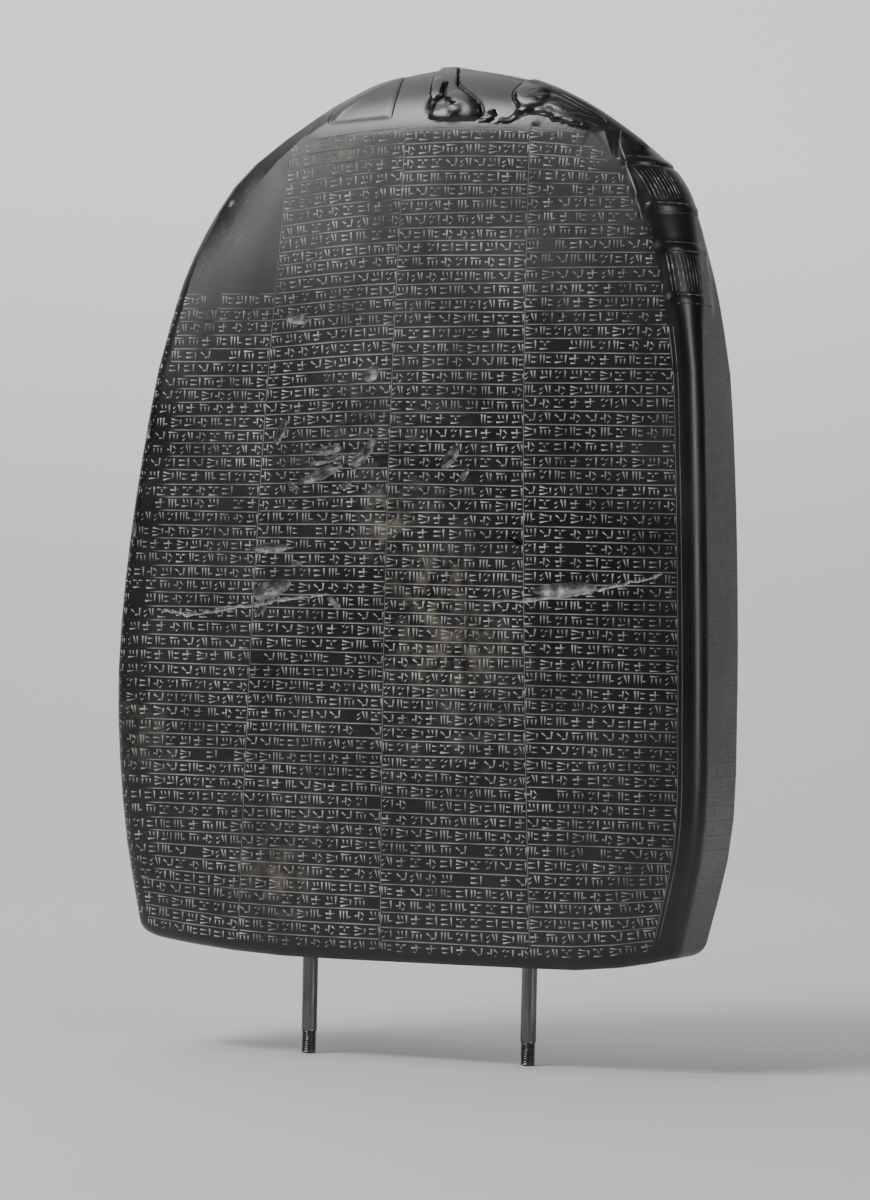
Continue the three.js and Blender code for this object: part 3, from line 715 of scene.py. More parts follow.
def front_row(start, end, height, wobble, margin, ease=False):
    """One row line across the front between two upright lines, given as functions of height."""
    low, high = start(height) + margin, end(height) - margin
    share = np.linspace(0, 1, max(3, int(abs(high - low) / guide_step)))
    share = 1 - np.cos(share * np.pi / 2) if ease else share
    across = low + (high - low) * share
    sagged = height - droop(across, height) + wobble * np.cos(share * np.pi)
    return surface(across, sagged, -1)


edge_margin, border_setback, border_gap = 2.2, 3.6, 2.2


def last_column_end(height):
    """The last column ends at the border line, or higher up at the edge of the altars' field."""
    edge_places = np.array(field_edge)[::-1]
    beside_altars = np.interp(height, edge_places[:, 1], edge_places[:, 0]) - edge_margin
    inside_border = border(height) - border_setback
    return np.where(height > field_edge[-1][1], np.minimum(beside_altars, inside_border), inside_border)


# Each column has its left and right edges, its top and how far its rows are out of level with the others
columns = [
    (left_edge, lambda h: divider(0, h), first_column_top, 0.0),
    (lambda h: divider(0, h), lambda h: divider(1, h), top_row, 0.5),
    (lambda h: divider(1, h), lambda h: divider(2, h), top_row, -0.4),
    (lambda h: divider(2, h), last_column_end, top_row, 0.6),
]
row_heights = np.arange(top_row, foot_margin, -row_pitch)
ruling_lines, side_rulings, front_rows, side_rows = [], [], [], []
for index, (start, end, top, offset) in enumerate(columns):
    is_first = index == 0
    for height in row_heights[row_heights <= top + 0.1]:
        level = height + offset + rng.uniform(-level_spread, level_spread)
        wobble = rng.uniform(-tilt_spread, tilt_spread)
        if level > foot_margin:
            ruling_lines.append(front_row(start, end, level, wobble, ruling_margin, is_first))
        middle, margin = level - row_pitch / 2, first_row_margin if is_first else row_margin
        if middle > foot_margin - foot_spare:
            front_rows.append(front_row(start, end, middle, wobble, margin, is_first))
print(len(row_heights), "rows down a full column")

# %% Rows on the narrow sides
def side_row(end, height, margin):
    middle, half, front, back, bulge, radius = section_at(np.array(height))
    low, high = -(front - bulge - radius) + margin, back - bulge - radius - margin
    y = np.linspace(low, high, 5)[::end]
    across = np.full_like(y, middle + end * half)
    return np.stack([across, y, np.full_like(y, height)], axis=1)


for end in (-1, 1):
    for height in row_heights[row_heights <= side_column_top]:
        level = height + rng.uniform(-side_level_spread, side_level_spread)
        if level > foot_margin:
            side_rulings.append(side_row(end, level, 0.0))
            side_rows.append(side_row(end, level - row_pitch / 2, side_row_margin))

upright_lines = []
upright_heights = np.arange(foot_margin, top_row, upright_step)
for index in range(3):
    upright_lines.append(surface(divider(index, upright_heights), upright_heights, -1))
for gap in (0.0, border_gap):
    heights = upright_heights[upright_heights < altar_field[0]]
    upright_lines.append(surface(border(heights) + gap - border_setback, heights, -1))
ruling_guides = make_guides("ruling_guides", ruling_lines)
side_ruling_guides = make_guides("side_rulings", side_rulings)
upright_guides = make_guides("upright_guides", upright_lines)
front_guides = make_guides("front_rows", front_rows)
side_guides = make_guides("side_rows", side_rows)

# %% Lines engraved on the altars
shoulder_steps, shoulder_end = 68, 0.9


def shoulder_point(way, height):
    """The point that lies some way round the right shoulder from the border line."""
    angles = border_angle(height) + np.linspace(-altar_lead, shoulder_end, shoulder_steps)
    heights = np.full(shoulder_steps, float(height))
    path, ways = ring_point(angles, heights), way_round(angles, heights)
    return np.array([np.interp(way, ways, path[:, axis]) for axis in range(3)])


def tapered(count, thickness):
    return thickness * np.interp(np.linspace(0, 1, count), [0, 0.2, 0.8, 1], [0.4, 1, 1, 0.4])


stripe_count, stripe_gap, first_stripe, stripe_spread = 16, 2.15, 2.2, 0.25
stripe_foot, stripe_head, slab_line_spare, slab_line_points = 1.4, 1.2, 1, 8
altar_lines, altar_sizes = [], []
for foot, head in altars:
    for number in range(stripe_count):
        way = altar_reach[0] + first_stripe + number * stripe_gap + rng.uniform(-stripe_spread, stripe_spread)
        low = foot + stripe_foot + rng.uniform(0, 1.5)
        high = head - stripe_head - rng.uniform(0, 1.0)
        altar_lines.append(np.array([shoulder_point(way, h) for h in np.linspace(high, low, 4)]))
        altar_sizes.append(tapered(4, rng.uniform(0.6, 1.1)))
    for level in (head + altar_slab, head, foot, foot - altar_slab):
        slab_ends = altar_reach[0] - slab_line_spare, altar_reach[1] + slab_line_spare
        ways = np.linspace(*slab_ends, slab_line_points)
        altar_lines.append(np.array([shoulder_point(way, level) for way in ways]))
        altar_sizes.append(tapered(slab_line_points, 1.1))

# %% Lines engraved on the figures
# Each line has its thickness, as a share of the groove's width, and its points across and up
figure_lines = [
    (2.0, [(11.6, 443.2), (11.2, 438.6), (8.2, 435.3), (4.9, 426.6)]),
    (1.4, [(13.8, 436.3), (16, 434.8), (19.4, 432.2)]),
    (1.3, [(15.6, 451), (19, 444.4), (27.4, 438.7), (33, 433.8), (35, 429.4), (34.6, 427.6)]),
    (1.3, [(51.2, 445.4), (47.9, 440.2), (49, 435.6), (51.7, 431.3), (49.2, 427), (44.6, 425.2)]),
    (1.1, [(-14.2, 450), (-14.2, 440.7), (-14.7, 434.2), (-15.1, 427)]),
    (0.9, [(-45.6, 435.7), (-50.2, 430.6), (-50.6, 425.1)]),
    (1.3, [(54.5, 426.9), (59.4, 428.2), (66, 427.4), (69.8, 425.9), (70.6, 424.2)]),
    (1.0, [(62.3, 446.7), (76.4, 440), (90.1, 432.3), (100.3, 426), (105.9, 422.1)]),
    (0.7, [(64, 443), (76, 438), (88, 431.4), (98, 424.4)]),
    (0.9, [(56.5, 439.3), (66.8, 440), (79.5, 434), (91.4, 427.4), (96.5, 423.2)]),
    (0.7, [(60, 437.7), (68, 437.6), (80, 431.9), (90, 426.4)]),
    (0.9, [(56, 436.1), (66, 435.4), (82, 429.6)]),
    (0.8, [(78, 427.9), (84.2, 427.2), (92.8, 424.2)]),
    (0.8, [(75.2, 426.2), (81.4, 425.4), (91, 422.4), (94, 420.8)]),
]
claw_count, first_claw, claw_gap = 5, 70.5, 1.5
for number in range(claw_count):
    across = first_claw + claw_gap * number
    figure_lines.append((0.7, [(across, 428.6), (across + 0.4, 430.5)]))
engraved_lines, engraved_sizes = [], []
altar_guides = make_guides("altar_guides", altar_lines, altar_sizes)
edge_points = smooth_line(field_edge, 16)
edge_line = surface(edge_points[:, 0], edge_points[:, 1], -1)
edge_guides = make_guides("edge_guides", [edge_line], [tapered(len(edge_line), 1.0)])
for thickness, path in figure_lines:
    points = smooth_line(path, 3 * len(path)) if len(path) > 2 else np.array(path, float)
    engraved_lines.append(surface(points[:, 0], points[:, 1], -1))
    engraved_sizes.append(tapered(len(points), thickness))
engraved_guides = make_guides("engraved_guides", engraved_lines, engraved_sizes)

# %% Cracks and scratches
crack_paths = [[(-132, 175), (-112, 174), (-86, 178), (-62, 182), (-38, 185)],
               [(50, 183), (84, 186), (106, 190), (138, 198)]]
crack_points, crack_jag, crack_wear = 34, 0.7, (0.45, 1.3)
crack_lines, crack_sizes = [], []
for path in crack_paths:
    points = smooth_line(path, crack_points)
    points[:, 1] += rng.uniform(-crack_jag, crack_jag, len(points))
    crack_lines.append(surface(points[:, 0], points[:, 1], -1))
    crack_sizes.append(tapered(len(points), 1.0) * rng.uniform(*crack_wear, len(points)))
crack_guides = make_guides("crack_guides", crack_lines, crack_sizes)

# Each fan of scratches has its centre, turn in degrees, length, number and gap
scratch_fans = [((-103, 372), 62, 26, 9, 1.9), ((-118, 352), -58, 22, 7, 2.3), ((-92, 392), 38, 14, 6, 1.8)]


def scratch_fan(centre, turn_degrees, length, count, gap):
    """Nearly parallel scratches, which never touch each other."""
    turn = math.radians(turn_degrees)
    along, aside = np.array([math.cos(turn), math.sin(turn)]), np.array([-math.sin(turn), math.cos(turn)])
    lines = []
    for number in range(count):
        middle = np.array(centre) + aside * gap * (number - count / 2) + along * rng.uniform(-5, 5)
        reach = length * rng.uniform(0.25, 0.6)
        ends = np.stack([middle - along * reach, middle, middle + along * reach])
        lines.append(surface(ends[:, 0], ends[:, 1], -1))
    return lines


scratch_guides = []
for number, fan in enumerate(scratch_fans):
    lines = scratch_fan(*fan)
    sizes = [tapered(3, rng.uniform(0.5, 1.2)) for _ in lines]
    scratch_guides.append(make_guides(f"scratch_guides_{number}", lines, sizes))

# %% Places of the chips
# Each chip has its place across and up, length, width, depth, turn in degrees and raggedness
chips = [(-61, 325, 15, 6, 2.2, -8, 1.0), (-18, 297, 10, 7, 2.2, 50, 0.25), (-67, 267, 15, 5, 2.0, 70, 1.0),
         (-41, 258, 17, 5, 2.0, 12, 1.0), (-42, 253, 19, 4, 1.6, 10, 1.0), (-44, 246, 26, 6, 2.6, 22, 1.0),
         (-21, 256, 22, 6, 3.0, 52, 1.0), (12.5, 265, 8, 2, 1.2, -68, 0.6), (26, 255, 15, 6, 2.6, 58, 1.0),
         (-71, 208, 21, 5, 2.0, 3, 0.9), (-70, 187, 22, 9, 3.0, 20, 1.0), (-35, 181, 10, 4, 1.4, -35, 1.0),
         (88, 190, 34, 7, 2.4, 4, 0.35), (-144, 268, 10, 5, 1.8, 82, 0.7), (-150, 216, 9, 4, 1.6, 88, 0.7),
         (-104, 386, 8, 4, 0.9, 66, 0.8), (-56, 200, 6, 3, 1.0, 30, 1.0), (34, 246, 7, 3, 1.2, 62, 1.0),
         (-30, 240, 8, 3.5, 1.2, 20, 1.0), (-60, 240, 9, 3, 1.1, -30, 1.0), (-76, 176, 9, 4, 1.3, 40, 1.0)]


chip_reach_share, chip_spare = 0.6, 3


def stand_clear(one, other):
    return math.dist(one[:2], other[:2]) > (one[2] + other[2]) * chip_reach_share + chip_spare


def separate_sets(entries):
    """Sorts the chips into sets in which none touches another."""
    sets = []
    for entry in sorted(entries, key=lambda e: -e[2]):
        for group in sets:
            if all(stand_clear(entry, other) for other in group):
                group.append(entry)
                break
        else:
            sets.append([entry])
    return sets


def make_chip_places(name, entries):
    mesh = bpy.data.meshes.new(name)
    mesh.from_pydata([tuple(surface(x, z, -1) * MM) for x, z, *_ in entries], [], [])
    sizes = [(length, width, 2 * depth) for _, _, length, width, depth, _, _ in entries]
    turns = [math.radians(entry[5]) for entry in entries]
    directions = [(math.cos(turn), 0, math.sin(turn)) for turn in turns]
    for label, kind, field, values in (
            ("chip_size", "FLOAT_VECTOR", "vector", np.array(sizes) * MM),
            ("chip_along", "FLOAT_VECTOR", "vector", np.array(directions)),
            ("raggedness", "FLOAT", "value", np.array([entry[6] for entry in entries]))):
        layer = mesh.attributes.new(label, kind, "POINT")
        layer.data.foreach_set(field, values.astype(np.float32).ravel())
    places = bpy.data.objects.new(name, mesh)
    bpy.context.scene.collection.objects.link(places)
    return places


chip_places = [make_chip_places(f"chip_places_{i}", group) for i, group in enumerate(separate_sets(chips))]
print(len(chips), "chips in", len(chip_places), "sets")

# %% [markdown]
# ## A node tree that cuts lines into a surface
# A cut line could be drawn by hand on the mesh, but there are over three hundred of them. The tree takes
# the guides, snaps them onto the smooth stone, sweeps a small four-sided bar along each one and takes
# the bars away from the stone. The half of a bar that is below the surface leaves a V-shaped groove.

# %% Small helpers for building trees
def new_tree(name, sockets):
    """An empty node tree with the named inputs, given as (name, kind, default)."""
    tree = bpy.data.node_groups.new(name, "GeometryNodeTree")
    tree.is_modifier = True
    tree.interface.new_socket("Geometry", in_out="OUTPUT", socket_type="NodeSocketGeometry")
    for label, kind, default in sockets:
        entry = tree.interface.new_socket(label, in_out="INPUT", socket_type="NodeSocket" + kind)
        if default is not None:
            entry.default_value = default
    return tree, tree.nodes.new("NodeGroupInput"), tree.nodes.new("NodeGroupOutput")


def add_node(tree, kind, links=(), **settings):
    """A node with its settings and its inputs: values are set, and sockets are linked."""
    node = tree.nodes.new(kind)
    for key, value in settings.items():
        setattr(node, key, value)
    for key, value in dict(links).items():
        feed(tree.links, value, node.inputs[key])
    return node


def run_tree(target, tree, values):
    """Puts the tree on an object, sets its inputs and keeps the result as a plain mesh."""
    modifier = target.modifiers.new(tree.name, "NODES")
    modifier.node_group = tree
    for item in tree.interface.items_tree:
        if item.in_out == "INPUT" and item.name in values:
            modifier[item.identifier] = values[item.name]
    graph = bpy.context.evaluated_depsgraph_get()
    made = bpy.data.meshes.new_from_object(target.evaluated_get(graph), depsgraph=graph)
    target.modifiers.remove(modifier)
    target.data = made
    return made


def socket(node, name, kind):
    """The output of that name and kind, for nodes that have hidden ones of the same name."""
    return next(out for out in node.outputs if out.name == name and out.type == kind and out.enabled)


def attribute(tree, name, data_type, kind):
    node = add_node(tree, "GeometryNodeInputNamedAttribute", {"Name": name}, data_type=data_type)
    return socket(node, "Attribute", kind)


def reckon(tree, operation, *values):
    """The result of one Math node."""
    return add_node(tree, "ShaderNodeMath", dict(enumerate(values)), operation=operation).outputs[0]


def mesh_of(tree, into, label):
    """The mesh of the object that the tree is given under that label."""
    return add_node(tree, "GeometryNodeObjectInfo", {"Object": into.outputs[label]}).outputs["Geometry"]


def nearest_on_stone(tree, into, what):
    """The Position or the Normal of the smooth stone where it is nearest to each point."""
    wanted = add_node(tree, "GeometryNodeInput" + what).outputs[0]
    found = add_node(tree, "GeometryNodeSampleNearestSurface",
                     {"Mesh": mesh_of(tree, into, "Smooth Stone"), "Value": wanted}, data_type="FLOAT_VECTOR")
    return found.outputs["Value"]


def stand_on_stone(tree, into, along):
    """A turn that points Z out of the stone and X along a direction."""
    outward = add_node(tree, "FunctionNodeAlignRotationToVector",
                       {"Vector": nearest_on_stone(tree, into, "Normal")}, axis="Z")
    return add_node(tree, "FunctionNodeAlignRotationToVector",
                    {"Rotation": outward.outputs[0], "Vector": along}, axis="X", pivot_axis="Z").outputs[0]


def mark_walls(tree, geometry, is_new):
    return add_node(tree, "GeometryNodeStoreNamedAttribute",
                    {"Geometry": geometry, "Name": "is_new_wall", "Value": is_new},
                    data_type="BOOLEAN", domain="FACE").outputs["Geometry"]


def cut_with(tree, into, out, cutters, finish):
    """Takes the cutters away from the stone and gives the new walls their finish."""
    joined = add_node(tree, "GeometryNodeRealizeInstances", {"Geometry": mark_walls(tree, cutters, True)})
    cut = add_node(tree, "GeometryNodeMeshBoolean", operation="DIFFERENCE", solver="MANIFOLD")
    tree.links.new(mark_walls(tree, into.outputs["Geometry"], False), cut.inputs["Mesh 1"])
    tree.links.new(joined.outputs["Geometry"], cut.inputs["Mesh 2"])
    whole = add_node(tree, "GeometryNodeRealizeInstances", {"Geometry": cut.outputs["Mesh"]})
    finished = add_node(tree, "GeometryNodeSetMaterial", {
        "Geometry": whole.outputs["Geometry"], "Material": finish,
        "Selection": attribute(tree, "is_new_wall", "BOOLEAN", "BOOLEAN")})
    tree.links.new(finished.outputs["Geometry"], out.inputs[0])


print("tree helpers are ready")

# %% The tree for cut lines
line_tree, into, out = new_tree("cut_lines", [
    ("Geometry", "Geometry", None), ("Guides", "Object", None), ("Smooth Stone", "Object", None),
    ("Width", "Float", 0.0009), ("Depth", "Float", 0.00035), ("Wall Finish", "Material", None)])
curves = add_node(line_tree, "GeometryNodeMeshToCurve", {"Mesh": mesh_of(line_tree, into, "Guides")})
snapped = add_node(line_tree, "GeometryNodeSetPosition", {
    "Geometry": curves.outputs["Curve"], "Position": nearest_on_stone(line_tree, into, "Position")})
turned = add_node(line_tree, "GeometryNodeSetCurveNormal", {
    "Curve": snapped.outputs["Geometry"], "Normal": nearest_on_stone(line_tree, into, "Normal")}, mode="FREE")
bar = add_node(line_tree, "GeometryNodeCurvePrimitiveCircle", {"Resolution": 4, "Radius": 1.0}, mode="RADIUS")
bar_size = add_node(line_tree, "ShaderNodeCombineXYZ", {
    "X": reckon(line_tree, "MULTIPLY", into.outputs["Width"], 0.5), "Y": into.outputs["Depth"], "Z": 1.0})
shaped_bar = add_node(line_tree, "GeometryNodeTransform",
                      {"Geometry": bar.outputs["Curve"], "Scale": bar_size.outputs[0]})
bars = add_node(line_tree, "GeometryNodeCurveToMesh",
                {"Curve": turned.outputs["Curve"], "Profile Curve": shaped_bar.outputs["Geometry"],
                 "Fill Caps": True})
thickness = add_node(line_tree, "GeometryNodeInputNamedAttribute", {"Name": "thickness"}, data_type="FLOAT")
known = add_node(line_tree, "GeometryNodeSwitch", {"Switch": thickness.outputs["Exists"], "False": 1.0,
                                                   "True": socket(thickness, "Attribute", "VALUE")},
                 input_type="FLOAT")
line_tree.links.new(known.outputs[0], bars.inputs["Scale"])
cut_with(line_tree, into, out, bars.outputs["Mesh"], into.outputs["Wall Finish"])
print("cut_lines has", len(line_tree.nodes), "nodes")

# %% Cut the rulings and the upright lines
stone = bpy.data.objects.new("dressed_stone", smooth_stone.data.copy())
bpy.context.scene.collection.objects.link(stone)


def count_triangles(mesh):
    return sum(len(face.vertices) - 2 for face in mesh.polygons)


def cut_lines(guides, width, depth, finish):
    made = run_tree(stone, line_tree, {
        "Guides": guides, "Smooth Stone": smooth_stone, "Width": width * MM, "Depth": depth * MM,
        "Wall Finish": finish})
    print("after", guides.name, count_triangles(made), "triangles,", len(made.materials), "finishes")


cut_lines(ruling_guides, width=0.6, depth=0.33, finish=dusty_shaded_ruling)
cut_lines(side_ruling_guides, width=0.5, depth=0.22, finish=dusty_shaded_ruling)
cut_lines(upright_guides, width=0.4, depth=0.2, finish=dusty_shaded_ruling)

# %% [markdown]
# ## Strokes for the text
# The rows are filled with short wedge-shaped strokes: a broad, deep head that thins out to a tail. They
# form no letters. A chisel stroke of this kind is a three-sided pit, so its cutter is a slim pyramid
# with its tip in the stone. Some strokes lie level and some stand upright, and they often cross, so there
# are two sets of cutters, each with no overlaps in itself. Each group below holds both kinds, and both
# sets are placed with the same seed, so that the halves of a group meet again on the stone.

# %% Wedge cutters in groups
stroke_depth, narrow_head, head_growth, full_stroke = 0.62, 0.8, 0.25, 4
tip_share, rim_overshoot = 0.22, 1.2


def wedge(head, turn_degrees, length, width, depth):
    """Corners of a pyramid for one stroke: its head's middle, the way its tail points, and its size."""
    turn = math.radians(turn_degrees)
    tail = np.array([math.cos(turn), math.sin(turn), 0])
    aside = np.array([-tail[1], tail[0], 0])
    head = np.array([*head, 0.0])
    rim = [head + aside * width / 2, head - aside * width / 2, head + tail * length]
    tip = head + tail * tip_share * length - np.array([0, 0, depth])
    return [tip + (corner - tip) * rim_overshoot for corner in rim] + [tip]


# Each pattern has its level and its upright strokes: head across, head up, turn in degrees, length
stroke_patterns = [
    ([(-2.6, 1.3, 0, 3.8), (-2.6, -1.2, 0, 3.8)], [(2.3, 2.5, -90, 4.8)]),
    ([(1.3, -0.6, 0, 1.8)], [(-2.4, 2.5, -90, 4.7), (-0.8, 2.5, -90, 4.7), (0.8, 2.5, -90, 4.7)]),
    ([(-2.7, 0.6, 2, 5.2), (-2.2, -1.8, 0, 3.0)], [(-0.2, 2.5, -88, 3.9)]),
    ([(-2.5, 1.5, 32, 1.8), (-0.5, 1.2, 30, 1.8), (-1.9, -1.5, 24, 2.0)], [(2.4, 2.5, -92, 4.8)]),
    ([(0.4, 1.3, 0, 2.6), (0.4, -1.2, 0, 2.6)], [(-2.4, 2.5, -90, 4.8), (-0.8, 2.4, -90, 4.6)]),
    ([(-2.5, 1.7, -38, 3.0), (-0.2, -1.2, 8, 2.4)], [(2.3, 2.5, -96, 4.6)]),
    ([(-2.6, -1.4, 4, 4.2)], [(-1.7, 2.4, -76, 2.6), (0.3, 2.4, -80, 2.4), (2.5, 2.5, -90, 4.6)]),
    ([(-2.7, 1.9, -3, 2.5), (0.5, 1.7, 4, 2.3), (-2.7, -1.9, 0, 4.8)], [(-0.3, 0.8, -84, 1.7)]),
    ([(-2.4, 2.1, -12, 4.4), (-2.6, 0.1, 0, 2.4), (-2.4, -2.0, 9, 4.4)], [(2.6, 1.6, -90, 3.2)]),
    ([(-2.6, 0.3, 38, 2.2), (-2.6, -2.0, 34, 2.2)], [(0.2, 2.5, -72, 4.4), (2.1, 2.4, -88, 4.4)]),
    ([(-2.6, 2.1, 0, 5.0)], [(-1.9, 1.0, -90, 3.0), (0.1, 1.0, -86, 3.0), (2.1, 1.0, -92, 3.0)]),
    ([(-2.6, 0.0, 0, 2.2), (0.7, 1.9, -44, 2.6), (0.5, -2.1, 40, 2.0)], [(-0.6, 2.4, -92, 4.6)]),
]


group_widening, steepest_level, variants = 1.12, 60, 3
# How far a stroke strays across, up, in its turn and in its length
hand_spreads = (0.08, 0.1, 2, 0.06)


def by_hand(x, y, turn, length):
    """One stroke as an unsteady hand would place it."""
    off_across, off_up, off_turn, off_length = [rng.uniform(-spread, spread) for spread in hand_spreads]
    widening = group_widening if abs(turn) < steepest_level else 1
    head = (x * group_widening + off_across, y + off_up)
    return head, turn + off_turn, length * (1 + off_length) * widening


def stroke_groups():
    """Groups of level and of upright strokes: every pattern in each of its variants."""
    return [[[by_hand(*stroke) for stroke in strokes] for strokes in pattern]
            for pattern in stroke_patterns * variants]


def make_cutters(name, groups, part):
    verts, faces, group_ids = [], [], []
    for number, group in enumerate(groups):
        for head, turn, length in group[part]:
            base = len(verts)
            width = narrow_head + head_growth * min(1.0, length / full_stroke)
            verts += [tuple(corner * MM) for corner in wedge(head, turn, length, width, stroke_depth)]
            faces += [(base, base + 1, base + 2), (base + 1, base, base + 3),
                      (base + 2, base + 1, base + 3), (base, base + 2, base + 3)]
            group_ids += [number] * 4
    mesh = bpy.data.meshes.new(name)
    mesh.from_pydata(verts, [], faces)
    layer = mesh.attributes.new("group", "INT", "FACE")
    layer.data.foreach_set("value", group_ids)
    check = bmesh.new()
    check.from_mesh(mesh)
    bmesh.ops.recalc_face_normals(check, faces=check.faces[:])
    check.to_mesh(mesh)
    check.free()
    cutters = bpy.data.objects.new(name, mesh)
    bpy.context.scene.collection.objects.link(cutters)
    print(name, len(verts) // 4, "strokes in", len(groups), "groups")
    return cutters


groups = stroke_groups()
level_cutters = make_cutters("level_strokes", groups, 0)
upright_cutters = make_cutters("upright_strokes", groups, 1)

# %% The tree for strokes
stroke_tree, into, out = new_tree("cut_strokes", [
    ("Geometry", "Geometry", None), ("Rows", "Object", None), ("Smooth Stone", "Object", None),
    ("Cutters", "Object", None), ("Spacing", "Float", 0.0065), ("Size Spread", "Float", 0.06),
    ("Depth Spread", "Float", 0.35), ("Share Kept", "Float", 0.95), ("Seed", "Int", 7),
    ("Drift", "Float", 0.00015), ("Wall Finish", "Material", None)])
seed = into.outputs["Seed"]


def stroke_seed(step):
    """The tree's seed moved on by a step, so that two choices don't follow each other."""
    return add_node(stroke_tree, "FunctionNodeIntegerMath", {0: seed, 1: step}, operation="ADD").outputs[0]


def random_between(low, high, seed):
    node = add_node(stroke_tree, "FunctionNodeRandomValue", {2: low, 3: high, "Seed": seed},
                    data_type="FLOAT")
    return socket(node, "Value", "VALUE")


def scaled(vector, factor):
    node = add_node(stroke_tree, "ShaderNodeVectorMath", {0: vector, "Scale": factor}, operation="SCALE")
    return node.outputs[0]


curves = add_node(stroke_tree, "GeometryNodeMeshToCurve", {"Mesh": mesh_of(stroke_tree, into, "Rows")})
spots = add_node(stroke_tree, "GeometryNodeCurveToPoints",
                 {"Curve": curves.outputs["Curve"], "Length": into.outputs["Spacing"]}, mode="LENGTH")
kept = add_node(stroke_tree, "FunctionNodeRandomValue",
                {"Probability": into.outputs["Share Kept"], "Seed": seed}, data_type="BOOLEAN")
along = scaled(spots.outputs["Tangent"], random_between(-1.0, 1.0, stroke_seed(3)))
lift = add_node(stroke_tree, "ShaderNodeCombineXYZ", {"Z": random_between(-0.8, 0.8, stroke_seed(5))})
both = add_node(stroke_tree, "ShaderNodeVectorMath", {0: along, 1: lift.outputs[0]}, operation="ADD")
drift = scaled(both.outputs[0], into.outputs["Drift"])
drifted = add_node(stroke_tree, "GeometryNodeSetPosition",
                   {"Geometry": spots.outputs["Points"], "Offset": drift})
snapped = add_node(stroke_tree, "GeometryNodeSetPosition",
                   {"Geometry": drifted.outputs["Geometry"],
                    "Position": nearest_on_stone(stroke_tree, into, "Position")})
choices = add_node(stroke_tree, "GeometryNodeSplitToInstances",
                   {"Geometry": mesh_of(stroke_tree, into, "Cutters"),
                    "Group ID": attribute(stroke_tree, "group", "INT", "INT")}, domain="FACE")
pick_seed = stroke_seed(11)
pick = add_node(stroke_tree, "FunctionNodeRandomValue", {4: 0, 5: 9999, "Seed": pick_seed}, data_type="INT")
size = random_between(reckon(stroke_tree, "SUBTRACT", 1.0, into.outputs["Size Spread"]), 1.0, seed)
deep = random_between(reckon(stroke_tree, "SUBTRACT", 1.0, into.outputs["Depth Spread"]), 1.0, pick_seed)
scale = add_node(stroke_tree, "ShaderNodeCombineXYZ", {"X": size, "Y": size, "Z": deep})
placed = add_node(stroke_tree, "GeometryNodeInstanceOnPoints",
                  {"Points": snapped.outputs["Geometry"], "Selection": socket(kept, "Value", "BOOLEAN"),
                   "Instance": choices.outputs["Instances"], "Pick Instance": True,
                   "Instance Index": socket(pick, "Value", "INT"),
                   "Rotation": stand_on_stone(stroke_tree, into, spots.outputs["Tangent"]),
                   "Scale": scale.outputs[0]})
cut_with(stroke_tree, into, out, placed.outputs["Instances"], into.outputs["Wall Finish"])
print("cut_strokes has", len(stroke_tree.nodes), "nodes")

# %% Cut the strokes
def cut_strokes(guides, spacing, share_kept, seed, finish):
    for cutters in (level_cutters, upright_cutters):
        made = run_tree(stone, stroke_tree, {
            "Rows": guides, "Smooth Stone": smooth_stone, "Cutters": cutters, "Spacing": spacing * MM,
            "Share Kept": share_kept, "Seed": seed, "Wall Finish": finish})
        print("after", guides.name, cutters.name, count_triangles(made), "triangles")


cut_strokes(front_guides, spacing=7.45, share_kept=0.98, seed=7, finish=dusty_shaded_stroke)
cut_strokes(side_guides, spacing=9.0, share_kept=0.85, seed=23, finish=dusty_shaded_ruling)

# %% [markdown]
# ## Engraved lines, scratches, cracks and chips
# The masons cut the outlines of the figures deeper than the rulings, and age added the rest. The same
# tree cuts all the lines. Only the chips need another: a chip is a flake knocked out of the stone, so its
# cutter is a flattened ball, roughened with noise, and half of it is in the stone.

# %% Cut the engraved lines, scratches and cracks
cut_lines(engraved_guides, width=0.9, depth=0.5, finish=clean_groove)
cut_lines(altar_guides, width=0.85, depth=0.4, finish=broken_stone)
cut_lines(edge_guides, width=1.3, depth=0.5, finish=dusty_shaded_stroke)
for guides in scratch_guides:
    cut_lines(guides, width=0.28, depth=0.09, finish=dusty_shaded_stroke)
cut_lines(crack_guides, width=1.0, depth=1.1, finish=broken_stone)

# %% The tree for chips
chip_tree, into, out = new_tree("break_chips", [
    ("Geometry", "Geometry", None), ("Places", "Object", None), ("Smooth Stone", "Object", None),
    ("Roughening", "Float", 0.0016), ("Lump Scale", "Float", 260.0), ("Wall Finish", "Material", None)])
ball = add_node(chip_tree, "GeometryNodeMeshIcoSphere", {"Radius": 0.5, "Subdivisions": 3})
chip_along = attribute(chip_tree, "chip_along", "FLOAT_VECTOR", "VECTOR")
balls = add_node(chip_tree, "GeometryNodeInstanceOnPoints",
                 {"Points": mesh_of(chip_tree, into, "Places"), "Instance": ball.outputs["Mesh"],
                  "Rotation": stand_on_stone(chip_tree, into, chip_along),
                  "Scale": attribute(chip_tree, "chip_size", "FLOAT_VECTOR", "VECTOR")})
loose = add_node(chip_tree, "GeometryNodeRealizeInstances", {"Geometry": balls.outputs["Instances"]})
lumps = add_node(chip_tree, "ShaderNodeTexNoise",
                 {"Vector": add_node(chip_tree, "GeometryNodeInputPosition").outputs[0],
                  "Scale": into.outputs["Lump Scale"], "Detail": 3.0, "Roughness": 0.6})
centred = add_node(chip_tree, "ShaderNodeVectorMath", {0: lumps.outputs["Color"], 1: (0.5, 0.5, 0.5)},
                   operation="SUBTRACT")
raggedness = attribute(chip_tree, "raggedness", "FLOAT", "VALUE")
amount = reckon(chip_tree, "MULTIPLY", raggedness, into.outputs["Roughening"])
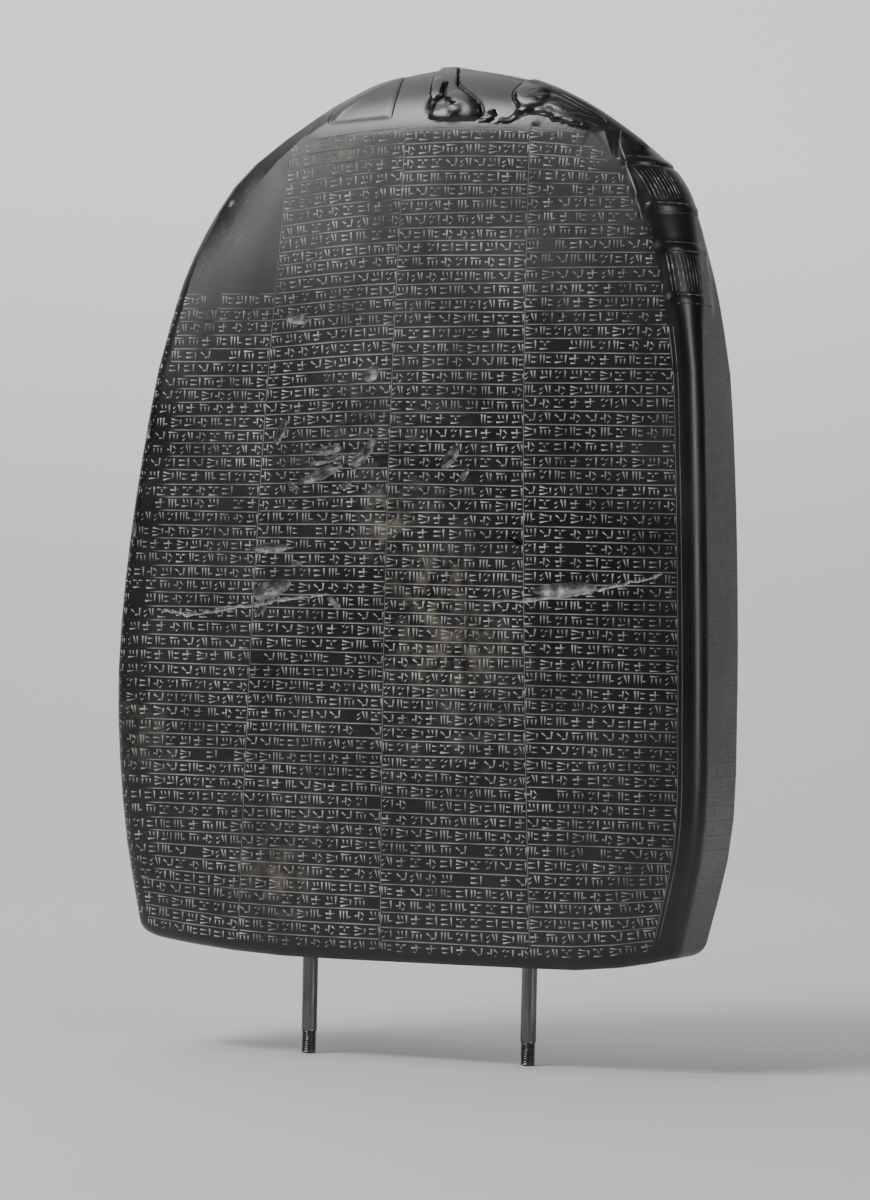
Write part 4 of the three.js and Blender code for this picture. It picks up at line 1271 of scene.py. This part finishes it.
push = add_node(chip_tree, "ShaderNodeVectorMath", {0: centred.outputs[0], "Scale": amount},
                operation="SCALE")
roughened = add_node(chip_tree, "GeometryNodeSetPosition",
                     {"Geometry": loose.outputs["Geometry"], "Offset": push.outputs[0]})
cut_with(chip_tree, into, out, roughened.outputs["Geometry"], into.outputs["Wall Finish"])
print("break_chips has", len(chip_tree.nodes), "nodes")

# %% Break the chips out
chip_roughening = 4.5
for places_used in chip_places:
    made = run_tree(stone, chip_tree, {"Places": places_used, "Smooth Stone": smooth_stone,
                                       "Roughening": chip_roughening * MM, "Wall Finish": broken_stone})
    print("after", places_used.name, count_triangles(made), "triangles")

# %% [markdown]
# ## Two threaded studs in drilled holes
# The stele is held by two steel studs that go 60 mm into the stone. A thread is a groove that winds round
# the shank: its depth depends on the height and on the way round together. So the tree takes a plain
# cylinder with many rings and moves each point in by a zigzag of height over pitch plus a turn.

# %% Drill the holes
stud_spacing, stud_radius, stud_clearance, stud_inset, stud_projection = 120.0, 4.0, 0.3, 60.0, 51.0
hole_start, round_sides, stud_chamfer = 5.0, 24, 0.6
drill_tree, into, out = new_tree("drill_holes", [
    ("Geometry", "Geometry", None), ("Spacing", "Float", 0.12), ("Radius", "Float", 0.0043),
    ("Length", "Float", 0.0653), ("Middle Height", "Float", 0.0277), ("Wall Finish", "Material", None)])
ends = [add_node(drill_tree, "ShaderNodeCombineXYZ", {
    "X": reckon(drill_tree, "MULTIPLY", into.outputs["Spacing"], share), "Z": into.outputs["Middle Height"]})
    for share in (-0.5, 0.5)]
centres = add_node(drill_tree, "GeometryNodeMeshLine",
                   {"Count": 2, "Start Location": ends[0].outputs[0], "Offset": ends[1].outputs[0]},
                   mode="END_POINTS")
drill = add_node(drill_tree, "GeometryNodeMeshCylinder",
                 {"Vertices": round_sides, "Radius": into.outputs["Radius"], "Depth": into.outputs["Length"]})
drills = add_node(drill_tree, "GeometryNodeInstanceOnPoints",
                  {"Points": centres.outputs["Mesh"], "Instance": drill.outputs["Mesh"]})
cut_with(drill_tree, into, out, drills.outputs["Instances"], into.outputs["Wall Finish"])
made = run_tree(stone, drill_tree, {
    "Spacing": stud_spacing * MM, "Radius": (stud_radius + stud_clearance) * MM,
    "Length": (stud_inset + stud_clearance + hole_start) * MM,
    "Middle Height": (stud_inset + stud_clearance - hole_start) / 2 * MM, "Wall Finish": clean_groove})
print("after the holes", count_triangles(made), "triangles")

# %% Polished steel with painted shade, a little rougher in the thread
thread_length, thread_pitch, thread_depth = 12.0, 1.25, 0.65
steel_with_painted_shade, nodes, links, shader = new_material("steel_with_painted_shade")
brushing = object_noise(nodes, links, scale=500, detail=4, roughness=0.6, stretch=(1, 1, 0.05))
# Painted shade: the steel's colour is kept much darker than bare steel, standing in for the dark surroundings
# it reflects
links.new(colour_ramp(nodes, links, brushing, [(0.3, (0.09, 0.089, 0.085)), (0.7, (0.20, 0.197, 0.19))]),
          shader.inputs["Base Color"])
shader.inputs["Metallic"].default_value = 1.0
thread_top, shank_roughness, thread_roughness = (thread_length - stud_projection) * MM, 0.24, 0.30
roughness = place_along(nodes, links, "Z", thread_top + MM, thread_top, shank_roughness, thread_roughness)
links.new(roughness, shader.inputs["Roughness"])

# %% The tree for a threaded stud
stud_tree, into, out = new_tree("threaded_stud", [
    ("Geometry", "Geometry", None), ("Across", "Float", 0.06), ("Radius", "Float", 0.004),
    ("Foot", "Float", -0.051), ("Length", "Float", 0.111), ("Thread Length", "Float", 0.012),
    ("Pitch", "Float", 0.00125), ("Thread Depth", "Float", 0.00065), ("Finish", "Material", None)])
rings_in_thread, rings_in_shank = 58, 6
radius, length, pitch = into.outputs["Radius"], into.outputs["Length"], into.outputs["Pitch"]
threaded, depth = into.outputs["Thread Length"], into.outputs["Thread Depth"]


def stretch_between(value, from_low, from_high, to_low, to_high):
    return add_node(stud_tree, "ShaderNodeMapRange", {
        "Value": value, "From Min": from_low, "From Max": from_high,
        "To Min": to_low, "To Max": to_high}).outputs[0]


def times(first, second):
    return reckon(stud_tree, "MULTIPLY", first, second)


def plus(first, second):
    return reckon(stud_tree, "ADD", first, second)


def less(first, second):
    return reckon(stud_tree, "SUBTRACT", first, second)


rod = add_node(stud_tree, "GeometryNodeMeshCylinder",
               {"Vertices": round_sides, "Side Segments": rings_in_thread + rings_in_shank,
                "Radius": 1.0, "Depth": 1.0})
parts = add_node(stud_tree, "ShaderNodeSeparateXYZ",
                 {0: add_node(stud_tree, "GeometryNodeInputPosition").outputs[0]})
x, y, z = parts.outputs
upward = plus(z, 0.5)
thread_share = rings_in_thread / (rings_in_thread + rings_in_shank)
in_thread = stretch_between(upward, 0.0, thread_share, 0.0, threaded)
past_thread = stretch_between(upward, thread_share, 1.0, 0.0, less(length, threaded))
above_foot = plus(in_thread, past_thread)
turn = reckon(stud_tree, "DIVIDE", reckon(stud_tree, "ARCTAN2", y, x), 2 * math.pi)
winding = plus(reckon(stud_tree, "DIVIDE", above_foot, pitch), turn)
groove = times(reckon(stud_tree, "PINGPONG", winding, 0.5), 2.0)
fade = stretch_between(above_foot, less(threaded, pitch), threaded, depth, 0.0)
chamfer = stretch_between(above_foot, 0.0, stud_chamfer * MM, stud_chamfer * MM, 0.0)
reach = less(radius, reckon(stud_tree, "MAXIMUM", times(groove, fade), chamfer))
spot = add_node(stud_tree, "ShaderNodeCombineXYZ", {
    "X": plus(times(x, reach), into.outputs["Across"]), "Y": times(y, reach),
    "Z": plus(above_foot, into.outputs["Foot"])})
shaped = add_node(stud_tree, "GeometryNodeSetPosition",
                  {"Geometry": rod.outputs["Mesh"], "Position": spot.outputs[0]})
whole = add_node(stud_tree, "GeometryNodeRealizeInstances", {"Geometry": shaped.outputs["Geometry"]})
finished = add_node(stud_tree, "GeometryNodeSetMaterial",
                    {"Geometry": whole.outputs["Geometry"], "Material": into.outputs["Finish"]})
stud_tree.links.new(finished.outputs["Geometry"], out.inputs[0])

# %% Make the two studs
thread_crease = 35
for name, node, across in (("left_threaded_stud", "left_mounting_stud", -stud_spacing / 2),
                           ("right_threaded_stud", "right_mounting_stud", stud_spacing / 2)):
    stud = bpy.data.objects.new(name, bpy.data.meshes.new(name))
    bpy.context.scene.collection.objects.link(stud)
    made = run_tree(stud, stud_tree, {
        "Across": across * MM, "Radius": stud_radius * MM, "Foot": -stud_projection * MM,
        "Length": (stud_projection + stud_inset) * MM, "Thread Length": thread_length * MM,
        "Pitch": thread_pitch * MM, "Thread Depth": thread_depth * MM, "Finish": steel_with_painted_shade})
    made.polygons.foreach_set("use_smooth", [True] * len(made.polygons))
    made.set_sharp_from_angle(angle=math.radians(thread_crease))
    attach(stud, "root")
    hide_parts(node)
    print(name, count_triangles(made), "triangles")

# %% [markdown]
# ## Hand the stone over
# The dressed stone takes the place of the plain CAD block, which stays only for physics.

# %% Finish the stone's mesh
helpers = [ruling_guides, side_ruling_guides, upright_guides, front_guides, side_guides, level_cutters,
           upright_cutters, engraved_guides, altar_guides, edge_guides, crack_guides]
for helper in helpers + scratch_guides + chip_places:
    bpy.data.objects.remove(helper)
stone_crease, face_weight = 24, 50


def shade_evenly(target):
    """Smooth shading with sharp creases, in which large faces count for more than slivers."""
    target.data.polygons.foreach_set("use_smooth", [True] * len(target.data.polygons))
    target.data.set_sharp_from_angle(angle=math.radians(stone_crease))
    weighted = target.modifiers.new("weighted_normals", "WEIGHTED_NORMAL")
    weighted.keep_sharp, weighted.weight = True, face_weight
    graph = bpy.context.evaluated_depsgraph_get()
    shaded = bpy.data.meshes.new_from_object(target.evaluated_get(graph), depsgraph=graph)
    target.modifiers.remove(weighted)
    target.data = shaded


def corner_directions(mesh):
    flat = np.empty(len(mesh.loops) * 3, np.float32)
    mesh.corner_normals.foreach_get("vector", flat)
    return flat.reshape(-1, 3)


def shade_like(target, example):
    """Gives the polished faces the shading of the uncut stone, face by face, so slivers don't show."""
    places = np.array([v.co for v in example.data.vertices])
    corners = np.array([tuple(face.vertices) for face in example.data.polygons])
    nearest = BVHTree.FromPolygons(places.tolist(), corners.tolist())
    mesh = target.data
    mesh.calc_loop_triangles()
    polished = {i for i, m in enumerate(mesh.materials) if m == polished_stone}
    middles = {}
    for triangle in mesh.loop_triangles:
        if triangle.material_index in polished:
            middle = sum((mesh.vertices[v].co for v in triangle.vertices), Vector()) / 3
            middles.setdefault(triangle.polygon_index, []).append((triangle.area, *middle))
    # The largest triangle of each face decides which face of the uncut stone lies under it
    loops, on_face = [], []
    for number, found in middles.items():
        under = nearest.find_nearest(Vector(max(found)[1:]))[2]
        loops += mesh.polygons[number].loop_indices
        on_face += [under] * mesh.polygons[number].loop_total
    # Each corner takes its share of the three directions at that face's corners
    own = np.array([mesh.vertices[mesh.loops[i].vertex_index].co for i in loops])
    first, second, third = [places[corners[on_face, k]] for k in range(3)]
    whole = np.cross(second - first, third - first)
    size = np.maximum((whole**2).sum(1), 1e-20)
    shares = [(np.cross(b - own, c - own) * whole).sum(1) / size
              for b, c in ((second, third), (third, first), (first, second))]
    shares = np.clip(np.stack(shares, axis=1), 0, 1)
    directions, smooth_directions = corner_directions(mesh), corner_directions(example.data).reshape(-1, 3, 3)
    directions[loops] = np.einsum("nk,nkx->nx", shares, smooth_directions[on_face])
    directions /= np.maximum(np.linalg.norm(directions, axis=1, keepdims=True), 1e-9)
    mesh.normals_split_custom_set(directions.tolist())
    return len(middles)


shade_evenly(stone)
shade_evenly(smooth_stone)
print("shaded", shade_like(stone, smooth_stone), "polished faces like the uncut stone")
bpy.data.objects.remove(smooth_stone)
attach(stone, "root")
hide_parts("stone_stele")
print("dressed stone", count_triangles(stone.data), "triangles")

# %% [markdown]
# ## Camera, floor and light
# The stele was photographed from a little to its right with a long lens, so its narrow side just shows.
# A long lens keeps the outline from spreading. The floor and wall are one pale sheet, and its wall stands
# far enough back for a camera behind the stele to be in front of it.

# %% Camera
camera_turn, camera_distance, camera_height = math.radians(21), 2.4, 0.1833
camera_shift_across, image_roll = -0.0042, math.radians(1.2)
sensor_size, photo_height, photo_focal_length = 36.0, 1200, 4697
camera_data = bpy.data.cameras.new("camera")
camera_data.sensor_width = sensor_size
camera_data.lens = sensor_size * photo_focal_length / photo_height
camera = bpy.data.objects.new("camera", camera_data)
bpy.context.scene.collection.objects.link(camera)
look = Vector((-math.sin(camera_turn), math.cos(camera_turn), 0))
aside = Vector((math.cos(camera_turn), math.sin(camera_turn), 0))
camera.location = -look * camera_distance - aside * camera_shift_across + Vector((0, 0, camera_height))
camera.rotation_mode = "QUATERNION"
roll = Quaternion((0, 0, 1), image_roll)
camera.rotation_quaternion = look.to_track_quat("-Z", "Y") @ roll
bpy.context.scene.camera = camera
print("camera at", [round(v, 3) for v in camera.location])

# %% Floor and wall
floor_gap, floor_front, sheet_side = 0.0005, -0.9, 5.0
wall_distance, wall_top, wall_bend, bend_steps = 3.6, 4.0, 1.9, 12


def pale_sheet(floor_z):
    """A floor that curves up into a wall, as one sheet behind and under the stele."""
    profile = [(floor_front, floor_z)]
    for i in range(bend_steps + 1):
        turn = math.pi / 2 * i / bend_steps
        y = wall_distance - wall_bend + wall_bend * math.sin(turn)
        profile.append((y, floor_z + wall_bend * (1 - math.cos(turn))))
    profile.append((wall_distance, floor_z + wall_top))
    verts = [(side * sheet_side, y, z) for y, z in profile for side in (-1, 1)]
    faces = [(2 * i, 2 * i + 1, 2 * i + 3, 2 * i + 2) for i in range(len(profile) - 1)]
    mesh = bpy.data.meshes.new("pale_sheet")
    mesh.from_pydata(verts, [], faces)
    mesh.polygons.foreach_set("use_smooth", [True] * len(mesh.polygons))
    sheet = bpy.data.objects.new("pale_sheet", mesh)
    sheet.rotation_euler[2] = camera_turn
    bpy.context.scene.collection.objects.link(sheet)
    return sheet


paper, nodes, links, shader = new_material("pale_paper")
painted_light_by_height = place_along(nodes, links, "Z", low=-0.05, high=0.7, to_low=0, to_high=1)
# Painted light: the paper is coloured lighter towards the top, as if the wall were lit more there
links.new(colour_ramp(nodes, links, painted_light_by_height, [(0.0, 0.56), (0.35, 0.62), (1.0, 0.90)]),
          shader.inputs["Base Color"])
shader.inputs["Roughness"].default_value = 0.9
floor = pale_sheet(cad_box[0].z - floor_gap)
floor.data.materials.append(paper)
print("sheet", len(floor.data.polygons), "faces, its wall", wall_distance, "m behind")

# %% Lights
def soft_light(name, place, target, wide, tall, power):
    data = bpy.data.lights.new(name, "AREA")
    data.shape, data.size, data.size_y, data.energy = "RECTANGLE", wide, tall, power
    light = bpy.data.objects.new(name, data)
    light.location = place
    light.rotation_mode = "QUATERNION"
    light.rotation_quaternion = (Vector(target) - Vector(place)).to_track_quat("-Z", "Y")
    bpy.context.scene.collection.objects.link(light)


soft_light("overhead", (-0.8, 0.25, 2.2), (0, 0.25, 0.3), wide=2.2, tall=1.8, power=30)
soft_light("high_front", (-0.65, -1.25, 1.65), (0, 0, 0.4), wide=0.8, tall=0.55, power=35)
soft_light("left_soft", (-1.1, -1.25, 1.15), (0, 0, 0.35), wide=0.6, tall=0.6, power=8)
soft_light("wall_light", (-0.6, 0.7, 2.6), (-1.05, 3.3, 1.8), wide=3.6, tall=1.0, power=96)
soft_light("right_fill", (1.9, -0.75, 0.65), (0, 0, 0.25), wide=0.5, tall=1.3, power=15)
world = bpy.data.worlds.new("studio")
world.use_nodes = True
surroundings = world.node_tree.nodes["Background"]
surroundings.inputs["Color"].default_value = (*grey(0.5), 1)
surroundings.inputs["Strength"].default_value = 0.10
bpy.context.scene.world = world
